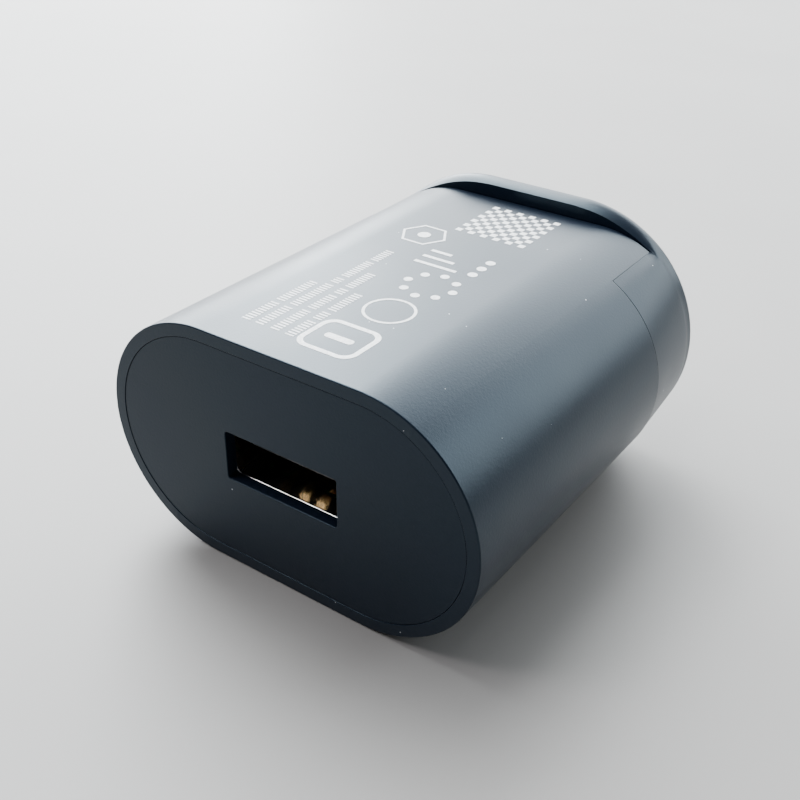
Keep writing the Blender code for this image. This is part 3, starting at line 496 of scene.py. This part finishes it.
def circuit_board():
    """Solder mask over glass fibre: tracks show as paler raised paths."""
    mask, track = (0.015, 0.1, 0.04), (0.03, 0.2, 0.07)
    made = Shader("circuit_board", mask, 0.35)
    cells = made.node("ShaderNodeTexBrick")
    cells.inputs["Scale"].default_value = 1 / (4 * MM)
    cells.inputs["Mortar Size"].default_value = 0.12
    cells.inputs["Color1"].default_value = (0, 0, 0, 1)
    cells.inputs["Color2"].default_value = (0, 0, 0, 1)
    cells.inputs["Mortar"].default_value = (1, 1, 1, 1)
    made.link(made.place, cells.inputs["Vector"])
    made.colour(made.mix(cells.outputs["Fac"], mask, track))
    made.roughness(made.remap(made.noise(1.5 * MM), 0.28, 0.45))
    made.bump(cells.outputs["Fac"], 0.03 * MM, 0.6)
    made.bump(made.noise(0.3 * MM, 1, (1, 1, 0.3)), 0.005 * MM, 0.4)
    return made.material


def banded(name, colour, band_colour, roughness, size, axis="Z"):
    """A surface with soft bands across an axis, such as film, tape and printed bodies."""
    made = Shader(name, colour, roughness)
    bands = made.node("ShaderNodeTexWave", wave_type="BANDS", bands_direction=axis)
    bands.inputs["Scale"].default_value = 1 / size
    bands.inputs["Distortion"].default_value = 0.4
    made.link(made.place, bands.inputs["Vector"])
    made.colour(made.ramp(bands.outputs["Fac"], (0.45, colour), (0.62, band_colour)))
    made.roughness(made.remap(made.noise(1.2 * MM), roughness - 0.06, roughness + 0.1))
    made.bump(made.noise(0.25 * MM), 0.006 * MM, 0.5)
    return made.material


def studio_floor():
    """Pale matt floor with a very soft mottle."""
    made = Shader("studio_floor", (0.28, 0.27, 0.26), 0.5)
    cloud = made.noise(60 * MM, 2)
    made.colour(made.ramp(cloud, (0.3, (0.27, 0.26, 0.25)), (0.7, (0.29, 0.28, 0.27))))
    return made.material


# ---------------------------------------------------------------- housing


def is_near(value, other):
    """Whether two places are the same, within rounding."""
    return abs(value - other) < 0.002 * MM


def is_outside(point):
    """Whether a point is on the tube's outer surface."""
    return math.hypot(max(0, abs(point.x) - TUBE_STRAIGHT), point.z) > TUBE_RADIUS - 0.02 * MM


def make_tube(material):
    """The oval tube: a thin round-edged lip round the front panel, and tongues at its rear flats."""
    seat_y = PANEL_HIGH.y + PANEL_SEAT_GAP
    lip = TUBE_RADIUS - LIP_RADIUS
    groove_edge = quarter_round(GROOVE_EDGE_RADIUS, 3)
    profile = [(WALL, TUBE_HIGH.y), (WALL, seat_y), (lip, seat_y)]
    profile += [(lip - inset, TUBE_LOW.y + rise) for inset, rise in reversed(groove_edge)]
    profile += [(inset, TUBE_LOW.y + rise) for inset, rise in quarter_round(FRONT_EDGE_RADIUS)]
    profile.append((0, TUBE_HIGH.y))
    rings = [stadium(TUBE_STRAIGHT, TUBE_RADIUS - inset, y) for inset, y in profile]
    tube = skin("charger_tube", rings, closed=True)
    room_y = EAR_FRONT_Y - PARTING_GAP
    for side in (-1, 1):
        inner, outer = side * EAR_SPLIT_X, side * (TUBE_HIGH.x + 5 * MM)
        room = box(
            "ear_room",
            (min(inner, outer), room_y, -2 * TUBE_RADIUS),
            (max(inner, outer), FACE_Y, 2 * TUBE_RADIUS),
        )
        boolean(tube, room)
    round_edges(tube, TONGUE_EDGE_RADIUS, lambda point: is_outside(point) and is_near(point.y, TUBE_HIGH.y))
    round_edges(tube, EAR_ROOM_EDGE_RADIUS, lambda point: is_outside(point) and is_near(point.y, room_y))
    soften(tube, 0)
    finish(tube, material, ["housing_sleeve"])


def make_panel(material):
    """The oval front panel, with the USB opening and a pocket behind it for the shell."""
    edge = quarter_round(GROOVE_EDGE_RADIUS, 3)
    front, back = PANEL_LOW.y, PANEL_HIGH.y
    flange = LIP_RADIUS - 0.01 * MM
    rings = [stadium(TUBE_STRAIGHT, flange, back)]
    rings.append(stadium(TUBE_STRAIGHT, flange, front + GROOVE_DEPTH))
    rings += [stadium(TUBE_STRAIGHT, PANEL_RADIUS - inset, front + rise) for inset, rise in reversed(edge)]
    for inset, rise in quarter_round(PORT_EDGE_RADIUS, 3):
        width, height = PORT_WIDTH + 2 * inset, PORT_HEIGHT + 2 * inset
        rings.append(round_rectangle(width, height, PORT_CORNER + inset, front + rise))
    pocket_y = SHELL_LOW.y - 0.02 * MM
    rings.append(round_rectangle(PORT_WIDTH, PORT_HEIGHT, PORT_CORNER, pocket_y))
    rings.append(round_rectangle(POCKET_WIDTH, POCKET_HEIGHT, POCKET_CORNER, pocket_y))
    rings.append(round_rectangle(POCKET_WIDTH, POCKET_HEIGHT, POCKET_CORNER, back))
    panel = skin("charger_front_panel", rings, closed=True)
    soften(panel, 0)
    finish(panel, material, ["front_panel"])


def growth(x, y):
    """How far the base's outline has grown from the tube's outline, 0, to the rim's, 1."""
    past_seam = abs(x) - EAR_SPLIT_X
    if past_seam > 0:
        share = min(1.0, past_seam / EAR_FADE)
        at_step = EAR_GROWTH_AT_STEP * share * share * (3 - 2 * share)
    else:
        share = min(1.0, -past_seam / RIM_FADE)
        at_step = RIM_GROWTH_AT_STEP * share * (2 - share)
    if y < STEP_Y:
        return at_step * (y - EAR_FRONT_Y) / (STEP_Y - EAR_FRONT_Y)
    left = max(0.0, (RIM_CREST_Y - y) / (RIM_CREST_Y - STEP_Y))
    return at_step + (1 - at_step) * (1 - left * left)


def base_ring(y, inset=0.0):
    """The plug base's outline at y."""
    tube = stadium(TUBE_STRAIGHT, TUBE_RADIUS - inset, y)
    rim = stadium(RIM_STRAIGHT, RIM_RADIUS - inset, y)
    return [on_tube.lerp(on_rim, growth(on_tube.x, y)) for on_tube, on_rim in zip(tube, rim)]


def make_base(material):
    """The rear piece: the rim with its round edge, and the two ears beside the tube's tongues."""
    ear_levels, rim_levels = 8, 6
    rings = []
    for level in range(ear_levels):
        share = level / ear_levels
        rings.append(base_ring(EAR_FRONT_Y + (STEP_Y - EAR_FRONT_Y) * share, EAR_DROP * (1 - share)))
    for level in range(rim_levels + 1):
        rings.append(base_ring(STEP_Y + (RIM_CREST_Y - STEP_Y) * level / rim_levels))
    for inset, rise in reversed(quarter_round(RIM_EDGE_RADIUS, 10)[:-1]):
        rings.append(base_ring(FACE_Y - rise, inset))
    base = skin("charger_plug_base", rings)
    channel = box(
        "channel",
        (-EAR_SPLIT_X - PARTING_GAP, EAR_FRONT_Y - 5 * MM, -2 * RIM_RADIUS),
        (EAR_SPLIT_X + PARTING_GAP, STEP_Y, 2 * RIM_RADIUS),
    )
    boolean(base, channel)
    for node in ("pin_active", "pin_neutral"):
        slot = skin("slot", blade_rings(node, [(-3 * MM, 0, 0), (3 * MM, 0, 0)], BLADE_SLOT_GAP))
        boolean(base, slot)
    soften(base, 0)
    finish(base, material, ["plug_base"])


# ---------------------------------------------------------------- plug blades


def blade_rings(node, sections, grow=0.0):
    """Rings round a leaning blade. Each section is (y, loss of width, loss of thickness)."""
    low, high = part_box(node)
    centre_x = (low.x + high.x) / 2
    side = math.copysign(1, centre_x)
    turn = Matrix.Translation((centre_x, 0, 0)) @ Matrix.Rotation(-side * BLADE_TILT, 4, "Y")
    rings = []
    for y, less_width, less_thickness in sections:
        width = BLADE_WIDTH - less_width + 2 * grow
        thickness = BLADE_THICKNESS - less_thickness + 2 * grow
        ring = round_rectangle(thickness, width, min(BLADE_CORNER, thickness * 0.45), y)
        rings.append([turn @ point for point in ring])
    return rings


def make_blade(label, material, insulation):
    """A plug blade with a chamfered tip, and the insulation moulded flush round its root."""
    node = f"pin_{label}"
    cover_node = f"pin_insulator_{label}"
    root, tip = [corner.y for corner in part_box(node)]
    cover_start, cover_end = [corner.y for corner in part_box(cover_node)]
    sections = [
        (root, BLADE_WAIST, BLADE_WAIST),
        (cover_end + 0.02 * MM, BLADE_WAIST, BLADE_WAIST),
        (cover_end + 0.03 * MM, 0.16 * MM, 0.16 * MM),
        (cover_end + 0.13 * MM, 0, 0),
        (tip - 1.6 * MM, 0, 0),
        (tip - 0.7 * MM, 0.35 * MM, 0.4 * MM),
        (tip - 0.2 * MM, 1.0 * MM, 0.8 * MM),
        (tip, 1.7 * MM, 1.15 * MM),
    ]
    blade = soften(skin(f"charger_{node}", blade_rings(node, sections)), 0)
    finish(blade, material, [node])
    outside = [(cover_start, 0, 0), (cover_end - 0.15 * MM, 0, 0), (cover_end, 0.12 * MM, 0.12 * MM)]
    inside = [(y, INSULATION_BORE, INSULATION_BORE) for y in (cover_end, cover_start)]
    rings = blade_rings(node, outside + inside)
    cover = soften(skin(f"charger_{cover_node}", rings, closed=True), 0)
    finish(cover, insulation, [cover_node])


# ---------------------------------------------------------------- USB socket


def shell_rings():
    """Rings that run forward along the shell's outside, round its lip and back along its inside."""
    half_w, top = SHELL_HALF_WIDTH, SHELL_TOP_Z
    front, back = SHELL_LOW.y, SHELL_HIGH.y
    lip = quarter_round(MOUTH_EDGE_RADIUS, 4)
    rings = [round_rectangle(2 * half_w, 2 * top, SHELL_BEND, back)]
    rings.append(round_rectangle(2 * half_w, 2 * top, SHELL_BEND, front + MOUTH_DEPTH))
    for inset, rise in reversed(lip):
        width, height = 2 * (half_w - inset), 2 * (top - inset)
        rings.append(round_rectangle(width, height, MOUTH_BEND - inset, front + rise))
    inner_w, inner_h = 2 * (half_w - SIDE_SHEET), 2 * (top - SHEET)
    for inset, rise in lip:
        width, height = inner_w + 2 * inset, inner_h + 2 * inset
        rings.append(round_rectangle(width, height, MOUTH_BEND - SHEET + inset, front + rise))
    rings.append(round_rectangle(inner_w, inner_h, SHELL_BEND - SHEET, front + MOUTH_DEPTH))
    rings.append(round_rectangle(inner_w, inner_h, SHELL_BEND - SHEET, back))
    return rings


def make_port_shell(material):
    """The folded metal shell with its round front lip, spring windows and legs."""
    shell = skin("port_shell", shell_rings(), closed=True)
    front = SHELL_LOW.y
    for side in (-1, 1):
        for up in (-1, 1):
            x, z = side * SPRING_X, up * SHELL_TOP_Z
            window = box(
                "window",
                (x - 1.35 * MM, front + 2.2 * MM, z - 0.6 * MM),
                (x + 1.35 * MM, front + 7.4 * MM, z + 0.6 * MM),
            )
            boolean(shell, window)
    soften(shell, 0)
    finish(shell, material, ["usb_shell"])
    for side in (-1, 1):
        for up in (-1, 1):
            make_port_spring(side, up, material)
        make_port_leg(side, material)


def ribbon(name, path, thickness, low_x, high_x):
    """A strip that follows (y, z) points, from low_x to high_x, with chamfered edges and eased bends."""
    points = smooth_path([Vector(point) for point in path])
    edge = 0.04 * MM
    rings = []
    for i, point in enumerate(points):
        along = (points[min(i + 1, len(points) - 1)] - points[max(i - 1, 0)]).normalized()
        across = Vector((-along.y, along.x)) * thickness / 2
        upper, lower = point + across, point - across
        corners = [
            (low_x + edge, upper),
            (high_x - edge, upper),
            (high_x, upper.lerp(lower, 0.25)),
            (high_x, upper.lerp(lower, 0.75)),
            (high_x - edge, lower),
            (low_x + edge, lower),
            (low_x, upper.lerp(lower, 0.75)),
            (low_x, upper.lerp(lower, 0.25)),
        ]
        rings.append([Vector((x, *corner)) for x, corner in corners])
    return skin(name, rings)


def smooth_path(points, rounds=2):
    """Cuts the corners of a path, keeping its ends."""
    for _ in range(rounds):
        cut = [points[0]]
        for first, second in zip(points, points[1:]):
            cut += [first.lerp(second, 0.25), first.lerp(second, 0.75)]
        points = cut + [points[-1]]
    return points


def make_port_spring(side, up, material):
    """A spring leaf cut from the shell, bowed a little into the socket."""
    front = SHELL_LOW.y
    x, rest_z = side * SPRING_X, up * (SHELL_TOP_Z - SHEET / 2)
    dip = up * 0.14 * MM
    path = [
        (front + 7.6 * MM, rest_z),
        (front + 6.6 * MM, rest_z),
        (front + 4.4 * MM, rest_z - dip),
        (front + 3.6 * MM, rest_z - dip),
        (front + 2.6 * MM, rest_z),
    ]
    name = f"port_spring_{'left' if side < 0 else 'right'}_{'top' if up > 0 else 'bottom'}"
    leaf = ribbon(name, path, SHEET * 0.8, x - 1.0 * MM, x + 1.0 * MM)
    finish(soften(leaf, 0), material)


def make_port_leg(side, material):
    """A mounting leg that the shell pushes through the board."""
    x = side * (SHELL_HALF_WIDTH - SHEET / 2)
    back = SHELL_HIGH.y
    leg = box(
        f"port_leg_{'left' if side < 0 else 'right'}",
        (x - SHEET * 0.45, back - 6.0 * MM, SHELL_LOW.z),
        (x + SHEET * 0.45, back - 4.0 * MM, 0),
    )
    finish(soften(leg, 0.05 * MM), material)


def cut_contact_room(block, root_y):
    """Cuts a groove under the tongue for each contact, and a channel through the block behind it."""
    for number in CONTACTS:
        low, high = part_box(f"usb_contact_{number}")
        x = (low.x + high.x) / 2
        groove = box(
            "groove",
            (x - 0.7 * MM, TONGUE_LOW.y + 0.4 * MM, -0.5 * MM),
            (x + 0.7 * MM, root_y + 0.01 * MM, 1.25 * MM),
        )
        boolean(block, groove)
        channel = box(
            "channel",
            (x - 0.65 * MM, root_y - 0.5 * MM, 0.22 * MM),
            (x + 0.65 * MM, TONGUE_HIGH.y + 1 * MM, 0.68 * MM),
        )
        boolean(block, channel)


def make_port_tongue(material):
    """The moulded block and tongue, with room for each contact."""
    root_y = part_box("usb_contact_1")[1].y + 0.1 * MM
    block = box("port_tongue", (TONGUE_LOW.x, root_y, TONGUE_LOW.z), TONGUE_HIGH)
    tongue = box(
        "tongue",
        (-TONGUE_HALF_WIDTH, TONGUE_LOW.y, TONGUE_BOTTOM),
        (TONGUE_HALF_WIDTH, root_y + 0.5 * MM, TONGUE_TOP),
    )
    bevel = tongue.modifiers.new("edges", "BEVEL")
    bevel.width = 0.22 * MM
    bevel.segments = 3
    apply_modifiers(tongue)
    boolean(block, tongue, "UNION")
    cut_contact_room(block, root_y)
    soften(block, 0.03 * MM, 1)
    finish(block, material, ["usb_insulator"])


def make_contacts(material):
    """The four sprung contact strips, each on its own body."""
    for number in CONTACTS:
        low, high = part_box(f"usb_contact_{number}")
        front, back = low.y, high.y
        path = [
            (back, CONTACT_ROOT_Z),
            (back - 1.5 * MM, CONTACT_ROOT_Z),
            (front + 2.5 * MM, -0.32 * MM),
            (front + 1.75 * MM, -0.44 * MM),
            (front + 1.0 * MM, -0.32 * MM),
            (front + 0.12 * MM, 0.3 * MM),
        ]
        strip = ribbon(f"port_contact_{number}", path, CONTACT_THICKNESS, low.x, high.x)
        finish(soften(strip, 0), material, [f"usb_contact_{number}"], f"contact_{number}")


# ---------------------------------------------------------------- printed marks

INK_Z = TUBE_HIGH.z
INK_THICKNESS = 0.02 * MM
INK_SINK = 0.002 * MM
STROKE = 0.28 * MM
TICK_PITCH = 0.42 * MM
TICK_WIDTH = 0.2 * MM
TICK_HEIGHT = 0.95 * MM


def bar(x0, y0, x1, y1):
    """Corners of a straight-sided bar."""
    return [(x0, y0), (x1, y0), (x1, y1), (x0, y1)]


def polygon(centre, radius, sides):
    """Corners of a regular shape, with the first one to the right of its centre."""
    turns = [2 * math.pi * i / sides for i in range(sides)]
    return [(centre[0] + radius * math.cos(turn), centre[1] + radius * math.sin(turn)) for turn in turns]


def polygon_line(centre, radius, sides):
    """Two outlines that fill as the line round a regular shape."""
    return [polygon(centre, radius, sides), polygon(centre, radius - STROKE, sides)]


def round_bar(centre, width, depth, radius):
    """Points round a bar with round corners."""
    ring = round_rectangle(width, depth, radius, 0, centre)
    return [(point.x, point.z) for point in ring]


def print_mark(name, outlines, material):
    """Ink in the shape of flat outlines, x and distance from the front edge, on the top flat."""
    curve = bpy.data.curves.new(name, "CURVE")
    curve.dimensions = "2D"
    curve.fill_mode = "BOTH"
    curve.extrude = INK_THICKNESS / 2
    for outline in outlines:
        spline = curve.splines.new("POLY")
        spline.points.add(len(outline) - 1)
        for point, (x, y) in zip(spline.points, outline):
            point.co = (x, TUBE_LOW.y + y, 0, 1)
        spline.use_cyclic_u = True
    guide = bpy.data.objects.new(name + "_guide", curve)
    bpy.context.scene.collection.objects.link(guide)
    mesh = evaluated_mesh(guide)
    bpy.data.objects.remove(guide)
    mesh.transform(Matrix.Translation((0, 0, INK_Z + INK_THICKNESS / 2 - INK_SINK)))
    mesh.name = name
    mark = bpy.data.objects.new(name, mesh)
    bpy.context.scene.collection.objects.link(mark)
    finish(mark, material)


def print_ticks(name, foot_x, start, groups, material):
    """A row of fine ticks in groups, where a line of print would be. It holds no letters."""
    outlines = []
    y = start
    for group in groups:
        for _ in range(group):
            outlines.append(bar(foot_x - TICK_HEIGHT, y, foot_x, y + TICK_WIDTH))
            y += TICK_PITCH
        y += TICK_PITCH
    print_mark(name, outlines, material)


def print_dots(name, centres, radius, material):
    """Round dots of ink."""
    print_mark(name, [polygon(centre, radius, DOT_SIDES) for centre in centres], material)


def print_marks(material):
    """Plain shapes where the print would be: rows of ticks, outlines, dots, bars and a chequered square."""
    print_ticks("print_ticks_1", -6.05 * MM, 3.9 * MM, (10, 12), material)
    print_ticks("print_ticks_2", -4.5 * MM, 3.9 * MM, (10, 13, 3, 10, 7), material)
    print_ticks("print_ticks_3", -2.75 * MM, 3.9 * MM, (11, 8, 3, 9), material)
    print_ticks("print_ticks_4", -1.05 * MM, 3.8 * MM, (8, 4, 10), material)
    tablet = (2.3 * MM, 5.9 * MM)
    outer = round_bar(tablet, 6.2 * MM, 5.6 * MM, 1.4 * MM)
    inner = round_bar(tablet, 5.2 * MM, 4.6 * MM, 1.0 * MM)
    middle = round_bar(tablet, 3.0 * MM, 0.8 * MM, 0.35 * MM)
    print_mark("print_tablet", [outer, inner, middle], material)
    print_mark("print_ring", polygon_line((2.65 * MM, 12.7 * MM), 2.5 * MM, 48), material)
    print_dots("print_dot_ring", polygon((2.65 * MM, 19.2 * MM), 2.5 * MM, 8), 0.45 * MM, material)
    bars = []
    for row, length in enumerate((4.8 * MM, 3.6 * MM, 2.4 * MM)):
        y = 23.0 * MM + row * 1.5 * MM
        bars.append(bar(-1.9 * MM, y, -1.9 * MM + length, y + 0.45 * MM))
    print_mark("print_bars", bars, material)
    print_dots("print_dot_row", [(4.5 * MM, y * MM) for y in (23.7, 25.35, 27.0)], 0.5 * MM, material)
    badge = (-4.7 * MM, 29.0 * MM)
    badge_dot = polygon(badge, 0.7 * MM, DOT_SIDES)
    print_mark("print_hexagon", polygon_line(badge, 2.6 * MM, 6) + [badge_dot], material)
    print_chequers(material)


def print_chequers(material):
    """A plain chequered square."""
    low_x, low_y, size, cells = -3.0 * MM, 32.1 * MM, 8.2 * MM, 11
    cell = size / cells
    gap = 0.03 * MM
    outlines = []
    for row in range(cells):
        for column in range(cells):
            if (row + column) % 2 == 0:
                x, y = low_x + column * cell, low_y + row * cell
                outlines.append(bar(x + gap, y + gap, x + cell - gap, y + cell - gap))
    print_mark("print_chequers", outlines, material)


# ---------------------------------------------------------------- parts inside the housing


def inner_materials():
    """The material for each slot of the parts inside."""
    return {
        "contact_gold": plated_metal("inner_gold", (0.85, 0.62, 0.25), 0.25),
        "lead_copper": plated_metal("inner_tinned_wire", (0.75, 0.74, 0.72), 0.3),
        "capacitor_aluminium": plated_metal("inner_aluminium", (0.8, 0.8, 0.81), 0.28),
        "board_fibreglass": circuit_board(),
        "ferrite": plain_moulding("inner_ferrite", (0.045, 0.045, 0.048), 0.6, 0.3 * MM),
        "black_plastic": plain_moulding("inner_bobbin", (0.014, 0.014, 0.015), 0.45),
        "chip_epoxy": plain_moulding("inner_epoxy", (0.02, 0.02, 0.022), 0.5),
        "winding_copper": wound_wire("inner_winding", (0.6, 0.24, 0.1)),
        "tape_yellow": banded("inner_tape", (0.75, 0.55, 0.06), (0.7, 0.49, 0.04), 0.35, 3 * MM),
        "capacitor_film": banded(
            "inner_capacitor_film", (0.02, 0.03, 0.09), (0.55, 0.57, 0.6), 0.3, 26 * MM, "X"
        ),
        "rubber_bung": plain_moulding("inner_rubber", (0.03, 0.03, 0.03), 0.75, 0.4 * MM),
        "ceramic_blue": plain_moulding("inner_ceramic", (0.03, 0.12, 0.42), 0.25, 0.5 * MM),
        "resistor_green": banded(
            "inner_resistor", (0.1, 0.25, 0.14), (0.35, 0.2, 0.06), 0.45, 5 * MM, "X"
        ),
        "surface_ceramic": plain_moulding("inner_surface_parts", (0.4, 0.3, 0.19), 0.5),
        "thermal_silicone": plain_moulding("inner_thermal_pad", (0.45, 0.48, 0.5), 0.7, 0.5 * MM),
        "insulation_film": plain_moulding("inner_insulation", (0.8, 0.78, 0.66), 0.3, 0.6 * MM),
    }


def finish_inner_parts():
    """Gives the CAD parts that keep their own shape their materials."""
    by_slot = inner_materials()
    for part in frame["record"]["subparts"]:
        node = frame["nodes"][part["node"]]
        if node.hide_render:
            continue
        node.data.materials.clear()
        node.data.materials.append(by_slot[part["material_slot"]])


# ---------------------------------------------------------------- stage, lights and camera

FLOOR_HALF_WIDTH = 1.5
FLOOR_GAP = 0.02 * MM


def make_floor():
    """A floor that touches the tube's front edge and the rim, which stands lower than the tube."""
    front = Vector((0, TUBE_LOW.y + FRONT_EDGE_RADIUS, TUBE_LOW.z))
    rim = Vector((0, FACE_Y - RIM_EDGE_RADIUS, BASE_LOW.z))
    slope = math.atan2(rim.z - front.z, rim.y - front.y)
    shape = bmesh.new()
    bmesh.ops.create_grid(shape, x_segments=1, y_segments=1, size=FLOOR_HALF_WIDTH)
    floor = object_from("studio_floor", shape)
    place = Matrix.Translation(front - Vector((0, 0, FLOOR_GAP)))
    floor.matrix_world = place @ Matrix.Rotation(slope, 4, "X")
    floor.data.materials.append(studio_floor())


def direction(azimuth, elevation):
    """The way out at an azimuth and elevation. Azimuth 0 is straight in front, and 90 to the right."""
    a, e = math.radians(azimuth), math.radians(elevation)
    return Vector((math.sin(a) * math.cos(e), -math.cos(a) * math.cos(e), math.sin(e)))


def add_softbox(name, azimuth, elevation, distance, size, power, colour):
    """A rectangular soft light that faces the charger's middle."""
    light = bpy.data.lights.new(name, "AREA")
    light.shape = "RECTANGLE"
    light.size, light.size_y = size
    light.energy = power
    light.color = colour
    lamp = bpy.data.objects.new(name, light)
    bpy.context.scene.collection.objects.link(lamp)
    target = (CAD_BOX[0] + CAD_BOX[1]) / 2
    out = direction(azimuth, elevation)
    lamp.location = target + out * distance
    lamp.rotation_mode = "QUATERNION"
    lamp.rotation_quaternion = (-out).to_track_quat("-Z", "Y")
    lamp.visible_camera = False


def make_lights():
    """Tall windows behind and beside the charger, and a dim room."""
    world = bpy.data.worlds.new("studio")
    world.use_nodes = True
    background = world.node_tree.nodes["Background"]
    background.inputs["Color"].default_value = (0.93, 0.96, 1.0, 1)
    background.inputs["Strength"].default_value = 0.13
    bpy.context.scene.world = world
    add_softbox("left_window", 238, 30, 0.9, (0.6, 0.9), 30, DAYLIGHT)
    add_softbox("left_sky", 252, 64, 0.9, (0.6, 0.5), 11, DAYLIGHT)
    add_softbox("back_window", 198, 27, 0.9, (0.95, 0.66), 17.5, DAYLIGHT)
    add_softbox("right_window", 146, 23, 0.9, (0.5, 0.54), 5.2, (0.88, 0.95, 1.0))
    add_softbox("front_lamp", 312, 48, 0.6, (0.17, 0.13), 1.4, (1.0, 0.96, 1.0))


def make_camera():
    """A three-quarter view from the front right, looking down."""
    azimuth, elevation, distance, roll = 34.87, 31.37, 105 * MM, 0.99
    target = Vector((1.6, -28.9, 0.9)) * MM
    camera = bpy.data.objects.new("camera", bpy.data.cameras.new("camera"))
    bpy.context.scene.collection.objects.link(camera)
    out = direction(azimuth, elevation)
    camera.location = target + out * distance
    camera.rotation_mode = "QUATERNION"
    level = (-out).to_track_quat("-Z", "Y")
    camera.rotation_quaternion = level @ Matrix.Rotation(math.radians(roll), 3, "Z").to_quaternion()
    camera.data.sensor_width = 36
    camera.data.lens = 48.52
    camera.data.clip_start = 0.005
    bpy.context.scene.camera = camera


# ---------------------------------------------------------------- build


def main():
    """Sets the stage and makes every visible piece."""
    make_camera()
    make_lights()
    make_floor()
    navy = moulded_plastic("navy_plastic", PLASTIC_COLOUR, 0.34, ior=1.4, dust=DUST_SHARE)
    panel = moulded_plastic("panel_plastic", PLASTIC_COLOUR, 0.36, ior=1.38, dust=DUST_SHARE)
    black = plain_moulding("black_plastic", (0.012, 0.012, 0.013), 0.42)
    nickel = plated_metal("nickel_plate", (0.74, 0.71, 0.65), 0.2)
    steel = plated_metal("shell_steel", (0.7, 0.7, 0.69), 0.12, (1, 0.15, 1))
    gold = plated_metal("contact_gold", (0.82, 0.56, 0.25), 0.18)
    make_tube(navy)
    make_panel(panel)
    make_base(navy)
    for label in ("active", "neutral"):
        make_blade(label, nickel, black)
    make_port_shell(steel)
    make_port_tongue(black)
    make_contacts(gold)
    print_marks(printed_ink())
    finish_inner_parts()


main()
